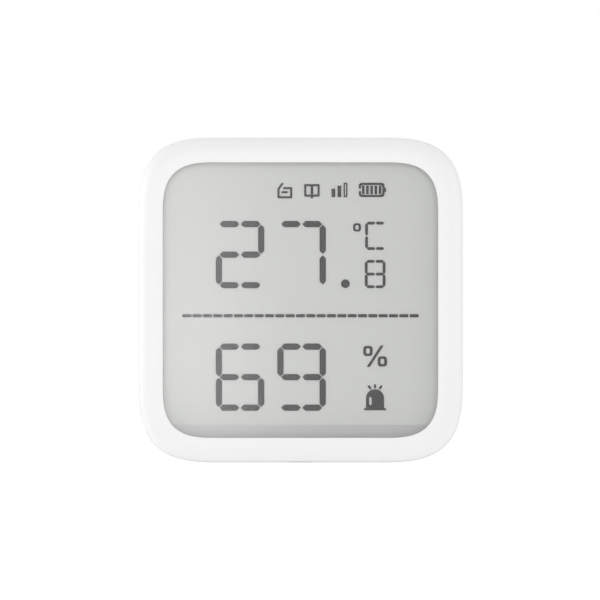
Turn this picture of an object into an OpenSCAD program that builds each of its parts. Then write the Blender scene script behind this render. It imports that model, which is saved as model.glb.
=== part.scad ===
// A square sensor for temperature and humidity, with a segment display, for a wall or a shelf.
// On the face, x runs to the right and y up from the middle. Depth runs back from the front plane.

/* [Case] */
// Width and height of the square case
case_w = 65; // [58.5:0.5:90]
// Size of the case outline's corners
case_corner = 16.7; // [12:0.1:20]
// Power of the corner curve, where 2 is a circle
corner_power = 3.05; // [2:0.05:4]
// Wall of the rear housing
housing_wall = 1.5; // [1.3:0.1:2]
// Back plate of the rear housing
back_wall = 1.8; // [1.2:0.1:4]
// Round on the housing's back edge
back_round = 2.2; // [0.5:0.1:3]
// Chamfer on the housing's front rim
rim_chamfer = 0.5; // [0.3:0.05:0.8]
// Width of the pry notch at the bottom of the housing's rim
notch_w = 5.3; // [3:0.1:12]
// Depth of the pry notch in its middle
notch_depth = 1.2; // [0.6:0.1:1.6]
// How far the pry notch reaches into the wall
notch_h = 0.9; // [0.5:0.1:1.1]
// Open line between the cover and the housing
parting_gap = 0.4; // [0.4:0.05:0.8]
// Depth of the front cover's visible shell
cover_depth = 3.3; // [3:0.1:5]
// How far the cover's edge stays inside the housing's edge
cover_inset = 0.3; // [0.1:0.05:0.6]
// Width of the cover's rolled edge, seen from the front
roll_w = 3.3; // [1:0.1:3.6]
// Depth of the cover's rolled edge
roll_depth = 2.1; // [1:0.1:2.9]
// Thickness of the cover's face
face_wall = 1.3; // [1:0.1:1.6]

/* [Cover skirt] */
// Room between the skirt and the housing, for the swing
skirt_gap = 0.6; // [0.6:0.05:1]
// Wall of the skirt
skirt_wall = 0.8; // [0.6:0.05:1.2]
// Room between the skirt's end and the board
skirt_to_board = 0.5; // [0.3:0.1:1]

/* [Hinge and latch] */
// Radius of the hinge pins
pin_r = 0.6; // [0.5:0.05:0.65]
// Length of each hinge pin
pin_len = 6; // [3:0.5:10]
// Distance of each hinge pin from the middle
pin_x = 12; // [6:0.5:12]
// Room around a hinge pin
pin_clear = 0.15; // [0.1:0.05:0.2]
// Housing left in front of a hinge pin
pin_rib = 0.55; // [0.4:0.05:1]
// How far the hinge axis lies below the housing's inner face
pin_sink = 0.1; // [0:0.05:0.2]
// Thickness of the neck that carries a hinge pin
pin_neck = 0.8; // [0.6:0.1:1]
// Height of the latch bead
latch_r = 0.45; // [0.2:0.05:0.5]
// Length of the latch bead
latch_len = 10; // [5:0.5:20]

/* [Window and lens] */
// Width of the bezel around the window
bezel_w = 5; // [3.8:0.02:6]
// Size of the window's corners
window_corner = 10.9; // [6:0.1:14]
// Room between the lens and the window
lens_clear = 0.06; // [0.05:0.01:0.3]
// How far the lens lies behind the front plane
lens_recess = 0.15; // [0:0.05:0.6]
// Thickness of the lens flange
flange_t = 0.6; // [0.4:0.1:1]
// Room between the lens flange and the skirt
flange_clear = 0.3; // [0.2:0.05:0.5]
// Thickness of the lens tape
tape_t = 0.15; // [0.1:0.05:0.3]
// Distance of the tape from the window's edge
tape_margin = 0.4; // [0.2:0.05:0.8]

/* [Display cell] */
// Air between the lens and the polariser
lens_air = 0.1; // [0.05:0.05:0.5]
// Thickness of the polariser
polariser_t = 0.15; // [0.1:0.05:0.3]
// Thickness of each glass
glass_t = 0.5; // [0.4:0.05:1.1]
// Thickness of the driven layer
fluid_t = 0.1; // [0.05:0.01:0.2]
// Thickness of the reflector
reflector_t = 0.2; // [0.1:0.05:0.3]
// Room between the glass and the display frame's walls
glass_clear = 0.2; // [0.1:0.05:0.4]
// Height of the contact ledge that the front glass leaves bare
ledge_h = 4.25; // [3.6:0.05:6]
// Room between the ledge's edge and the skirt
ledge_clear = 0.4; // [0.3:0.05:0.6]
// Width of the edge seal
seal_w = 0.8; // [0.4:0.1:0.8]

/* [Display frame] */
// Room between the frame and the skirt
frame_clear = 0.2; // [0.1:0.05:0.3]
// Wall of the frame
frame_wall = 0.8; // [0.6:0.05:1]
// Floor of the frame
frame_floor = 1; // [0.8:0.1:2]
// How far the frame's walls and the zebra strip run into the case's corners
corner_run = 3.2; // [0:0.1:3.4]
// Height of the posts between the frame and the board
post_h = 2.4; // [2:0.1:5]
// Radius of those posts
post_r = 2.3; // [1.8:0.1:3]
// Height of a snap bead
bead_r = 0.4; // [0.3:0.05:0.5]
// Length of a snap bead
bead_len = 8; // [4:0.5:14]
// Room around a snap bead
bead_clear = 0.2; // [0.1:0.05:0.4]
// Thickness of the zebra strip
zebra_t = 1.4; // [0.8:0.1:1.5]
// Room beside the zebra strip
zebra_clear = 0.1; // [0.05:0.05:0.3]

/* [Segments] */
// Width of the window that the segments are drawn for
drawn_w = 55; // [50:0.02:60]
// Spacing of a large digit's upright bars
digit_w = 8.45; // [6:0.05:9]
// Height of half a large digit
digit_half_h = 6.1; // [4:0.05:6.5]
// Thickness of a large digit's bars
digit_bar = 1.26; // [0.6:0.02:1.6]
// Distance between two large digits
digit_pitch = 12.3; // [11:0.05:13]
// Middle of the first large digit, across
digit_x = -12.08; // [-14:0.02:-10]
// Middle of the temperature digits, up
temperature_y = 9.08; // [7:0.02:10]
// Middle of the humidity digits, up
humidity_y = -15.4; // [-16:0.02:-13]
// Spacing of a small digit's upright bars
small_w = 3.56; // [3:0.02:4]
// Height of half a small digit
small_half_h = 2.54; // [2:0.02:2.8]
// Thickness of a small digit's bars
small_bar = 0.57; // [0.3:0.01:0.7]
// Middle of the column of small signs, across
small_x = 14.92; // [14:0.02:17]
// Middle of the unit letter, across
unit_x = 14.98; // [14:0.02:17]
// Middle of the unit letter, up
unit_y = 12.84; // [12:0.02:14]
// Middle of the tenths digit, up
tenths_y = 5.2; // [4:0.02:6]
// Gap from a corner to the tips of a large digit's bars
tip_gap = 0.12; // [0.05:0.01:0.3]
// Gap between the two halves of a large digit's level bar
split_gap = 0.28; // [0.1:0.02:0.6]
// Gap from a corner to the tips of a small digit's bars
small_tip_gap = 0.03; // [0.02:0.01:0.2]
// Gap between the two halves of a small digit's level bar
small_split_gap = 0.06; // [0.04:0.02:0.4]
// Radius of the decimal dot
dot_r = 0.87; // [0.4:0.01:1.2]
// Middle of the decimal dot, across
dot_x = 8.97; // [8.6:0.01:9.4]
// Middle of the decimal dot, up
dot_y = 3.27; // [3:0.01:4]
// Middle of the degree ring, across
degree_x = 11.3; // [11:0.02:11.5]
// Middle of the degree ring, up
degree_y = 14.52; // [14:0.02:16]
// Middle of the percent sign, up
percent_y = -11.22; // [-12:0.02:-10]
// Height of the divider
divider_y = -3.13; // [-5:0.01:-1]
// Length of the divider's dashes
dash_len = 1.9; // [1:0.02:2]
// Distance between the divider's dashes
dash_pitch = 2.065; // [2.05:0.005:2.1]
// Number of the divider's dashes
dash_count = 23; // [5:1:25]
// Thickness of the divider's dashes
dash_bar = 0.64; // [0.3:0.02:1]
// Length of the point at each end of a dash
dash_tip = 0.13; // [0.05:0.01:0.3]
// Stroke of the icons
icon_stroke = 0.44; // [0.3:0.02:0.5]
// Size of one unit of the icon drawings
icon_unit = 1; // [0.9:0.02:1.1]
// Middle of the icon row, up
icon_y = 22.01; // [21.6:0.01:22.4]
// Middle of the open box, across
box_x = -3.13; // [-10:0.01:-2]
// Middle of the book, across
book_x = 2.28; // [1.4:0.01:3.2]
// Middle of the signal bars, across
signal_x = 7.78; // [7:0.01:8.6]
// Middle of the battery, across
battery_x = 14.37; // [13.6:0.01:16]
// Middle of the warning light, across
beacon_x = 14.9; // [13:0.02:17]
// Middle of the warning light, up
beacon_y = -19.4; // [-19.6:0.02:-18]

/* [Board] */
// Thickness of the main board
board_t = 1; // [0.8:0.1:1.6]
// How far the board stays inside the skirt's inner face
board_inset = 0.4; // [0.2:0.1:1]
// Distance of the screws from the board's edges
screw_edge = 6.4; // [6:0.1:7]
// Radius of a screw's shank
screw_r = 0.9; // [0.7:0.05:1.2]
// Radius of a screw's head
screw_head_r = 1.8; // [1.5:0.1:2]
// Height of a screw's head
screw_head_h = 1.2; // [0.8:0.1:1.6]
// Room around a screw's shank in its post
screw_clear = 0.05; // [0.02:0.01:0.2]
// Room around a screw's shank in the board
board_hole_clear = 0.2; // [0.1:0.05:0.4]
// Length of a screw under its head
screw_len = 3.2; // [2:0.1:3.4]
// Length of the crossed slots in a screw's head
slot_len = 2.3; // [1.5:0.1:2.8]
// Width of those slots
slot_w = 0.5; // [0.3:0.05:0.8]
// Depth of those slots
slot_depth = 0.6; // [0.3:0.05:0.8]
// Height of the board's strip below the battery holder that carries the switches
switch_strip = 8.85; // [8:0.05:10]
// Width of the sensor chip
sensor_w = 2.5; // [1.5:0.1:4]
// Height of the sensor chip
sensor_h = 1; // [0.6:0.1:1.5]
// Distance of the sensor chip from the board's edge
sensor_edge = 1.9; // [1.5:0.1:3]
// Board left above and below the sensor chip
sensor_margin = 1; // [0.6:0.1:1.2]
// Width of the slot that keeps the board's heat from the sensor
sensor_slot = 0.8; // [0.5:0.1:1.2]
// Width of the controller chip
controller_w = 7; // [5:0.5:9]
// Height of the controller chip
controller_h = 1.1; // [0.8:0.1:1.6]
// Room between the controller chip and the radio's shield
controller_gap = 4; // [3:0.1:5]
// Width of the radio's shield
shield_w = 15; // [10:0.5:17]
// Height of the radio's shield on the board
shield_h = 9; // [8:0.5:12]
// Depth of the radio's shield
shield_depth = 2; // [1.5:0.1:3]
// Sheet of the radio's shield
shield_sheet = 0.2; // [0.15:0.05:0.4]
// Length of a small chip part
chip_len = 1.6; // [1:0.1:2]
// Width of a small chip part
chip_w = 0.8; // [0.5:0.1:1]
// Distance between small chip parts
chip_pitch = 1.6; // [1.2:0.1:1.8]
// Distance of a row of small chip parts from the shield
chip_gap = 2; // [1.5:0.1:2.5]
// Height of a chip capacitor
chip_capacitor_h = 0.8; // [0.5:0.1:1]
// Height of a chip resistor
chip_resistor_h = 0.45; // [0.3:0.05:0.6]
// Number of chip capacitors
capacitor_count = 5; // [1:1:5]
// Number of chip resistors
resistor_count = 6; // [1:1:6]
// Length of the radio's crystal
crystal_len = 3.2; // [2:0.1:5]
// Width of the radio's crystal
crystal_w = 1.6; // [1.2:0.1:2]
// Height of the radio's crystal
crystal_h = 0.8; // [0.5:0.1:1.2]
// Room between the crystal and the small chip parts
crystal_gap = 1.2; // [0.6:0.1:1.5]
// Radius of the bulk capacitor
can_r = 2.5; // [2:0.1:3.2]
// Height of the bulk capacitor
can_h = 5.4; // [4:0.1:8]
// Distance of the bulk capacitor from the board's edge
can_edge = 3.5; // [2:0.1:5]
// Room between the bulk capacitor and the battery holder
can_gap = 1.5; // [1:0.1:3]
// Radius of the antenna coil, to the middle of its wire
coil_r = 2.2; // [1.5:0.1:2.5]
// Radius of the antenna's wire
coil_wire_r = 0.4; // [0.3:0.05:0.45]
// Distance between the antenna's turns
coil_pitch = 1.6; // [1.4:0.05:2]
// Distance of the antenna coil from the board's edge
coil_edge = 2.5; // [2:0.1:4]
// Room between the antenna coil and the board
coil_lift = 0.8; // [0.5:0.1:2]
// Number of the antenna's whole turns, before its last half turn
coil_turns = 8; // [3:1:8]

/* [Switches] */
// Width of a switch's body
switch_w = 6; // [5:0.1:6.5]
// Height of a switch's body
switch_h = 3.5; // [3:0.1:5]
// Distance of the pairing switch from the middle
pairing_x = 13; // [9:0.5:14]
// Radius of the pairing button
button_r = 1.7; // [1.2:0.1:2]
// Height of the pairing button above its switch
button_h = 1.7; // [0.8:0.1:3]
// Travel of the pairing button
button_travel = 0.25; // [0.15:0.05:0.4]
// Radius of the lid switch's plunger
plunger_r = 1.5; // [1:0.1:2]
// Height of the plunger above its switch with the case closed
plunger_h = 4; // [2:0.1:6]
// Depth of the bore that a button or plunger runs in
switch_bore = 2.9; // [2.6:0.1:2.9]
// Room around a button or plunger in its bore
switch_clear = 0.1; // [0.05:0.05:0.2]
// Room between the plunger and the housing's stop
stop_gap = 0.1; // [0.05:0.05:0.3]
// Radius of the housing's stop
stop_r = 2; // [1.5:0.1:3]

/* [Battery] */
// Diameter of a cell
cell_d = 10.5; // [10:0.1:14.5]
// Length of a cell, with its button
cell_len = 44.5; // [30:0.5:50]
// Radius of a cell's button
cell_button_r = 1.9; // [1.5:0.1:2.5]
// Height of a cell's button
cell_button_h = 1; // [0.8:0.1:1.5]
// Room around a cell
cell_clear = 0.1; // [0.05:0.05:0.4]
// Room between the two cells
cell_gap = 1.1; // [0.9:0.1:2]
// Rib between the two cells
cell_rib = 0.7; // [0.5:0.1:0.8]
// Wall of the battery holder
holder_wall = 1.2; // [0.8:0.1:1.5]
// Floor of the battery holder
holder_floor = 0.8; // [0.6:0.1:1.5]
// Room between a cell and the holder's long walls
holder_clear = 0.3; // [0.1:0.05:0.6]
// Sheet of the contacts
contact_t = 0.4; // [0.2:0.05:0.5]
// Width of a contact plate
contact_w = 8; // [6:0.5:10]
// Length of a spring with its cell in place
spring_len = 3.2; // [2.8:0.1:4]
// Radius of a spring at its plate
spring_base_r = 3.8; // [3:0.1:4.2]
// Radius of a spring at its cell
spring_tip_r = 2.2; // [1.5:0.1:2.6]
// Radius of a spring's wire
spring_wire_r = 0.35; // [0.25:0.05:0.4]
// Number of a spring's turns
spring_turns = 2.5; // [2:0.5:2.5]
// How deep a spring's first turn is welded into its plate
spring_weld = 0.1; // [0.05:0.05:0.2]
// Room between the cells and the housing's back plate
back_room = 0.8; // [0.5:0.1:20]

/* [Wall holes and vents] */
// Distance between the two wall holes
wall_hole_pitch = 40; // [20:1:40]
// Height of the wall holes above the middle
wall_hole_y = 13.5; // [10:0.5:16]
// Radius of a wall hole
wall_hole_r = 2.1; // [1.5:0.1:3]
// Radius of the pad around a wall hole
wall_pad_r = 4.2; // [4:0.1:6]
// Height of that pad
wall_pad_h = 0.8; // [0.4:0.1:1.5]
// Number of vents on each side
vent_count = 5; // [1:1:7]
// Distance between vents
vent_pitch = 3; // [2:0.1:3.5]
// Width of a vent
vent_w = 1.2; // [0.8:0.1:1.5]
// Length of a vent
vent_len = 9; // [4:0.5:10]
// Distance of the vents behind the middle of the housing's depth
vent_back = 2; // [0:0.1:3]

/* [Hidden] */
$fn = 48;
// Straight steps in each corner of an outline
corner_steps = 12;
// Steps in a rolled or rounded edge
roll_steps = 8;
// Rings in a turn of wire, and sides of the wire
wire_rings = 8;
wire_sides = 6;
// How far a cut runs past the face that it opens
past = 1;

// Half sizes, from the case inwards
case_half = case_w / 2;
housing_in = case_half - housing_wall;
cover_half = case_half - cover_inset;
skirt_out = housing_in - skirt_gap;
skirt_in = skirt_out - skirt_wall;
frame_half = skirt_in - frame_clear;
flange_half = skirt_in - flange_clear;
glass_half = frame_half - frame_wall - glass_clear;
board_half = skirt_in - board_inset;
window_half = case_half - bezel_w;

// Straight run along each side, for the frame's walls and the zebra strip
run_len = 2 * (case_half - case_corner + corner_run);
// Size of the segments against the window that they are drawn for
segment_scale = 2 * window_half / drawn_w;

// Depths, from the front plane back
flange_front = face_wall + tape_t;
lens_back = flange_front + flange_t;
polariser_front = lens_back + lens_air;
front_glass_front = polariser_front + polariser_t;
fluid_front = front_glass_front + glass_t;
rear_glass_front = fluid_front + fluid_t;
reflector_front = rear_glass_front + glass_t;
floor_front = reflector_front + reflector_t;
floor_back = floor_front + frame_floor;
board_front = floor_back + post_h;
board_back = board_front + board_t;
skirt_end = board_front - skirt_to_board;
holder_top = board_back + holder_floor;
cell_r = cell_d / 2;
cell_depth = holder_top + cell_clear + cell_r;
back_in = cell_depth + cell_r + back_room;
case_t = back_in + back_wall;
rim_front = cover_depth + parting_gap;

// Hinge axis
pin_y = housing_in - pin_sink;
pin_depth = rim_front + pin_rib + pin_r + pin_clear;
latch_depth = skirt_end - latch_r;

// Display ledge at the bottom of the front glass
ledge_bottom = -(skirt_in - ledge_clear);
rear_glass_bottom = ledge_bottom + ledge_h;
zebra_bottom = ledge_bottom + zebra_clear;
zebra_top = zebra_bottom + zebra_t;

// Battery holder on the board
holder_inside = cell_len + spring_len + 2 * contact_t;
holder_len = holder_inside + 2 * holder_wall;
cell_pitch = cell_d + cell_gap;
holder_h = cell_pitch + cell_d + 2 * (holder_clear + holder_wall);
holder_bottom = -board_half + switch_strip;
holder_y = holder_bottom + holder_h / 2;
holder_upper = holder_bottom + holder_h;

// Ends of the holder's inside and of the cells, from the holder's middle
inside_half = holder_inside / 2;
cell_button_end = inside_half - contact_t;
cell_flat_end = cell_button_end - cell_len;

// Places on the board
screw_at = board_half - screw_edge;
switch_y = -board_half + switch_strip / 2;
coil_y = board_half - coil_r - coil_wire_r - coil_edge;
coil_depth = board_back + coil_lift + coil_wire_r + coil_r;
shield_y = (holder_upper + coil_y - coil_r - coil_wire_r) / 2;
controller_x = -shield_w / 2 - controller_gap - controller_w / 2;
chip_x = shield_w / 2 + chip_gap;
crystal_x = chip_x + chip_len / 2 + crystal_gap + crystal_w / 2;
can_x = board_half - can_r - can_edge;
can_y = holder_upper + can_r + can_gap;
sensor_x = -board_half + sensor_edge + sensor_w / 2;
sensor_y = can_y;
vent_depth = (rim_front + back_in) / 2 + vent_back;

// Bars that are lit, in the order top, upper left, upper right, middle, lower left, lower right, bottom
LIT_2 = [1, 0, 1, 1, 1, 0, 1];
LIT_6 = [1, 1, 0, 1, 1, 1, 1];
LIT_7 = [1, 0, 1, 0, 0, 1, 0];
LIT_8 = [1, 1, 1, 1, 1, 1, 1];
LIT_9 = [1, 1, 1, 1, 0, 1, 1];
LIT_C = [1, 1, 0, 0, 1, 0, 1];

// Points of a square outline with curved corners
function quarter_turn(p, times) = times == 0 ? p : quarter_turn([-p.y, p.x], times - 1);
function outline_points(half, corner) = [
    for (quarter = [0:3], step = [0:corner_steps])
        let (angle = 90 * step / corner_steps)
        let (across = pow(cos(angle), 2 / corner_power))
        let (up = pow(sin(angle), 2 / corner_power))
        quarter_turn([half - corner + corner * across, half - corner + corner * up], quarter)
];

// An outline inset from the case's edge has a smaller corner, down to 1
function corner_of(half) = max(1, case_corner - (case_half - half));

module case_outline(half) {
    polygon(outline_points(half, corner_of(half)));
}

module window_outline(half) {
    polygon(outline_points(half, window_corner - (window_half - half)));
}

// Stands the face up, with its front towards -Y and the case's bottom at height 0
module upright() {
    translate([0, 0, case_half]) rotate([90, 0, 0]) children();
}

module slab(front, back) {
    translate([0, 0, case_t / 2 - back]) linear_extrude(back - front) children();
}

module block(x, y, w, h, front, back) {
    slab(front, back) translate([x, y]) square([w, h], center = true);
}

module rod(x, y, r, front, back) {
    translate([x, y, case_t / 2 - back]) cylinder(r = r, h = back - front);
}

// A round bar along x
module cross_bar(x, y, depth, r, length) {
    translate([x - length / 2, y, case_t / 2 - depth]) rotate([0, 90, 0]) cylinder(r = r, h = length);
}

// A round bar along y
module up_bar(x, y, depth, r, length) {
    translate([x, y + length / 2, case_t / 2 - depth]) rotate([90, 0, 0]) cylinder(r = r, h = length);
}

// A closed shell through square outlines, each given as its half size and its depth
module loft(rings) {
    count = 4 * (corner_steps + 1);
    last = len(rings) - 1;
    points = [
        for (ring = rings, p = outline_points(ring[0], corner_of(ring[0])))
            [p.x, p.y, case_t / 2 - ring[1]]
    ];
    front_cap = [[for (i = [count - 1:-1:0]) i]];
    back_cap = [[for (i = [0:count - 1]) last * count + i]];
    sides = [
        for (k = [0:last - 1], i = [0:count - 1])
            let (a = k * count + i, b = k * count + (i + 1) % count)
            each [[a, b, b + count], [a, b + count, a + count]]
    ];
    polyhedron(points, concat(front_cap, sides, back_cap));
}

// Case

cover_rings = [
    for (i = [0:roll_steps])
        let (angle = 90 * i / roll_steps)
        [cover_half - roll_w + roll_w * sin(angle), roll_depth - roll_depth * cos(angle)],
    [cover_half, cover_depth]
];

module hinge_pins() {
    for (side = [-1, 1]) {
        neck_bottom = skirt_out - skirt_wall / 2;
        neck_h = pin_y - neck_bottom;
        block(side * pin_x, neck_bottom + neck_h / 2, pin_len, neck_h,
              pin_depth - pin_neck / 2, pin_depth + pin_neck / 2);
        cross_bar(side * pin_x, pin_y, pin_depth, pin_r, pin_len);
    }
}

// Openings in the skirt for the display frame's beads
module bead_openings() {
    open_d = 2 * (bead_r + bead_clear);
    open_len = bead_len + 2 * bead_clear;
    middle = (floor_front + floor_back) / 2;
    for (side = [-1, 1])
        block(side * skirt_out, 0, 2 * skirt_wall + past, open_len, middle - open_d / 2, middle + open_d / 2);
}

module front_cover() {
    color("white") upright() difference() {
        union() {
            loft(cover_rings);
            slab(face_wall, skirt_end) case_outline(skirt_out);
            hinge_pins();
            cross_bar(0, -skirt_out, latch_depth, latch_r, latch_len);
        }
        slab(-past, face_wall + past) window_outline(window_half);
        slab(face_wall, skirt_end + past) case_outline(skirt_in);
        bead_openings();
    }
}

housing_rings = [
    [case_half - rim_chamfer, rim_front],
    [case_half, rim_front + rim_chamfer],
    for (i = [0:roll_steps])
        let (angle = 90 * i / roll_steps)
        [case_half - back_round + back_round * cos(angle), case_t - back_round + back_round * sin(angle)]
];

module vents() {
    straight = vent_len - vent_w;
    for (side = [-1, 1], i = [0:vent_count - 1]) {
        y = sensor_y + (i - (vent_count - 1) / 2) * vent_pitch;
        length = 2 * housing_wall + past;
        block(side * case_half, y, length, vent_w, vent_depth - straight / 2, vent_depth + straight / 2);
        for (end = [-1, 1])
            cross_bar(side * case_half, y, vent_depth + end * straight / 2, vent_w / 2, length);
    }
}

// A shallow scoop under the cover's bottom edge, for a fingernail or a coin
module pry_notch() {
    scoop_r = (pow(notch_w / 2, 2) + pow(notch_depth, 2)) / (2 * notch_depth);
    up_bar(0, -case_half, rim_front + notch_depth - scoop_r, scoop_r, 2 * notch_h);
}

module rear_housing() {
    plunger_tip = board_back + switch_h + plunger_h;
    color("whitesmoke") upright() difference() {
        union() {
            difference() {
                loft(housing_rings);
                slab(rim_front - past, back_in) case_outline(housing_in);
            }
            rod(0, switch_y, stop_r, plunger_tip + stop_gap, back_in + back_wall / 2);
            for (side = [-1, 1])
                rod(side * wall_hole_pitch / 2, wall_hole_y, wall_pad_r, back_in - wall_pad_h,
                    back_in + back_wall / 2);
        }
        for (side = [-1, 1]) {
            rod(side * wall_hole_pitch / 2, wall_hole_y, wall_hole_r, back_in - wall_pad_h - past,
                case_t + past);
            cross_bar(side * pin_x, pin_y, pin_depth, pin_r + pin_clear, pin_len + 4 * pin_clear);
        }
        cross_bar(0, -housing_in, latch_depth, latch_r, latch_len + 4 * pin_clear);
        pry_notch();
        vents();
    }
}

// Lens

module window_lens() {
    color("aliceblue", 0.3) upright() union() {
        slab(lens_recess, flange_front + flange_t / 2) window_outline(window_half - lens_clear);
        slab(flange_front, lens_back) case_outline(flange_half);
    }
}

module lens_tape() {
    color("dimgray") upright() difference() {
        slab(face_wall, flange_front) case_outline(flange_half);
        slab(face_wall - past, flange_front + past) window_outline(window_half + tape_margin);
    }
}

// Display cell

// The glass is a square cut to the room inside the skirt, down to the given bottom edge
module glass_outline(half, bottom) {
    intersection() {
        case_outline(skirt_in - flange_clear);
        translate([-half, bottom]) square([2 * half, half - bottom]);
    }
}

module lcd_polariser() {
    color("gainsboro", 0.3) upright() slab(polariser_front, front_glass_front)
        glass_outline(glass_half - glass_clear, rear_glass_bottom);
}

module lcd_front_glass() {
    color("lightcyan", 0.3) upright() slab(front_glass_front, fluid_front)
        glass_outline(glass_half, ledge_bottom);
}

module lcd_seal() {
    color("silver") upright() difference() {
        slab(fluid_front, rear_glass_front) glass_outline(glass_half, rear_glass_bottom);
        slab(fluid_front - past, rear_glass_front + past) intersection() {
            case_outline(skirt_in - flange_clear - seal_w);
            glass_outline(glass_half - seal_w, rear_glass_bottom + seal_w);
        }
    }
}

module lcd_rear_glass() {
    color("lightcyan", 0.5) upright() slab(rear_glass_front, reflector_front)
        glass_outline(glass_half, rear_glass_bottom);
}

module lcd_reflector() {
    color("lightgray") upright() slab(reflector_front, floor_front)
        glass_outline(glass_half, rear_glass_bottom);
}

// Segments

// A bar along x with pointed ends
module bar(length, thick, tip) {
    flat = length / 2 - tip;
    polygon([
        [-length / 2, 0], [-flat, thick / 2], [flat, thick / 2],
        [length / 2, 0], [flat, -thick / 2], [-flat, -thick / 2]
    ]);
}

// A level bar of a digit, made of two halves
module level_bar(w, thick, corner_gap, middle_gap) {
    length = w / 2 - corner_gap - middle_gap / 2;
    for (side = [-1, 1])
        translate([side * (middle_gap + length) / 2, 0]) bar(length, thick, thick / 2);
}

module upright_bar(half_h, thick, corner_gap) {
    rotate(90) bar(half_h - 2 * corner_gap, thick, thick / 2);
}

module digit(lit, w, half_h, thick, corner_gap, middle_gap) {
    for (i = [0:2])
        if (lit[3 * i] == 1)
            translate([0, half_h * (1 - i)]) level_bar(w, thick, corner_gap, middle_gap);
    for (row = [0, 1], side = [0, 1])
        if (lit[1 + 3 * row + side] == 1)
            translate([w * (side - 0.5), half_h * (0.5 - row)]) upright_bar(half_h, thick, corner_gap);
}

module large_digit(lit) {
    digit(lit, digit_w, digit_half_h, digit_bar, tip_gap, split_gap);
}

module small_digit(lit) {
    digit(lit, small_w, small_half_h, small_bar, small_tip_gap, small_split_gap);
}

// A straight stroke with round ends
module stroke(from, to, thick) {
    run = to - from;
    translate(from) rotate(atan2(run.y, run.x)) translate([0, -thick / 2]) square([norm(run), thick]);
    for (p = [from, to])
        translate(p) circle(d = thick);
}

module path(points, thick) {
    for (i = [0:len(points) - 2])
        stroke(points[i], points[i + 1], thick);
}

module rounded_box(w, h, r) {
    square([w, h - 2 * r], center = true);
    square([w - 2 * r, h], center = true);
    for (x = [-1, 1], y = [-1, 1])
        translate([x * (w / 2 - r), y * (h / 2 - r)]) circle(r = r);
}

// A ring whose upright sides and level caps have their own thickness
module rounded_ring(w, h, r, side, cap) {
    difference() {
        rounded_box(w, h, r);
        rounded_box(w - 2 * side, h - 2 * cap, r - side / 2);
    }
}

module driven() {
    color("dimgray") upright() slab(fluid_front, rear_glass_front) scale(segment_scale) children();
}

module lcd_temperature_digits() {
    driven() {
        translate([digit_x, temperature_y]) large_digit(LIT_2);
        translate([digit_x + digit_pitch, temperature_y]) large_digit(LIT_7);
        translate([dot_x, dot_y]) circle(r = dot_r);
    }
}

module lcd_humidity_digits() {
    driven() {
        translate([digit_x, humidity_y]) large_digit(LIT_6);
        translate([digit_x + digit_pitch, humidity_y]) large_digit(LIT_9);
    }
}

module percent_sign() {
    ring = [1.87, 2.04] * icon_unit;
    ring_r = 0.6 * icon_unit;
    ring_side = 0.57 * icon_unit;
    ring_cap = 0.47 * icon_unit;
    ring_places = [[-1.44, 1.05], [1.44, -1.04]] * icon_unit;
    slash = [1.7, 2.15] * icon_unit;
    slash_w = 0.62 * icon_unit;
    for (p = ring_places)
        translate(p) rounded_ring(ring.x, ring.y, ring_r, ring_side, ring_cap);
    polygon([
        [slash.x - slash_w, slash.y], slash, [-slash.x + slash_w, -slash.y], -slash
    ]);
}

module degree_ring() {
    ring = [1.58, 1.65] * icon_unit;
    ring_r = 0.55 * icon_unit;
    ring_side = 0.46 * icon_unit;
    ring_cap = 0.36 * icon_unit;
    rounded_ring(ring.x, ring.y, ring_r, ring_side, ring_cap);
}

module lcd_small_signs() {
    driven() {
        translate([unit_x, unit_y]) small_digit(LIT_C);
        translate([small_x, tenths_y]) small_digit(LIT_8);
        translate([degree_x, degree_y]) degree_ring();
        translate([small_x, percent_y]) percent_sign();
    }
}

module lcd_divider() {
    driven()
        for (i = [0:dash_count - 1])
            translate([(i - (dash_count - 1) / 2) * dash_pitch, divider_y]) bar(dash_len, dash_bar, dash_tip);
}

// Warning light: a dome on a base, with a bright slot and three rays
module beacon_icon() {
    dome_w = 3.6 * icon_unit;
    dome_h = 4 * icon_unit;
    base_w = 4.4 * icon_unit;
    base_y = -2.4 * icon_unit;
    slot = [[-0.93, -0.22], [-0.93, -1.35]] * icon_unit;
    slot_bar = 0.5 * icon_unit;
    ray = [[0, 1.98], [0, 2.38]] * icon_unit;
    side_ray = [[0.95, 1.78], [1.26, 2.16]] * icon_unit;
    translate([0, base_y]) square([base_w, icon_stroke], center = true);
    difference() {
        union() {
            translate([-dome_w / 2, base_y]) square([dome_w, dome_h - dome_w / 2]);
            translate([0, base_y + dome_h - dome_w / 2]) circle(d = dome_w);
        }
        path(slot, slot_bar);
    }
    path(ray, icon_stroke);
    path(side_ray, icon_stroke);
    mirror([1, 0]) path(side_ray, icon_stroke);
}

// Box with its lid open
module open_box_icon() {
    half_w = 1.265;
    floor_y = -1.47;
    lid = [[-0.5, 1.23], [-half_w, 0.21]];
    body = [[-half_w, floor_y], [half_w, floor_y], [half_w, 0.35], [-0.13, 0.35]];
    box = concat(lid, body) * icon_unit;
    label = [[-0.45, -0.45], [0.41, -0.45]] * icon_unit;
    path(box, icon_stroke);
    path(label, icon_stroke);
}

module book_icon() {
    top = [0, 0.82];
    foot = [0, -1.44];
    left_page = [top, [-0.24, 0.95], [-1.33, 0.95], [-1.33, -1.13], [-0.2, -1.13], foot] * icon_unit;
    spine = [top, foot] * icon_unit;
    spine_bar = 0.54 * icon_unit;
    path(left_page, icon_stroke);
    mirror([1, 0]) path(left_page, icon_stroke);
    path(spine, spine_bar);
}

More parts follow.
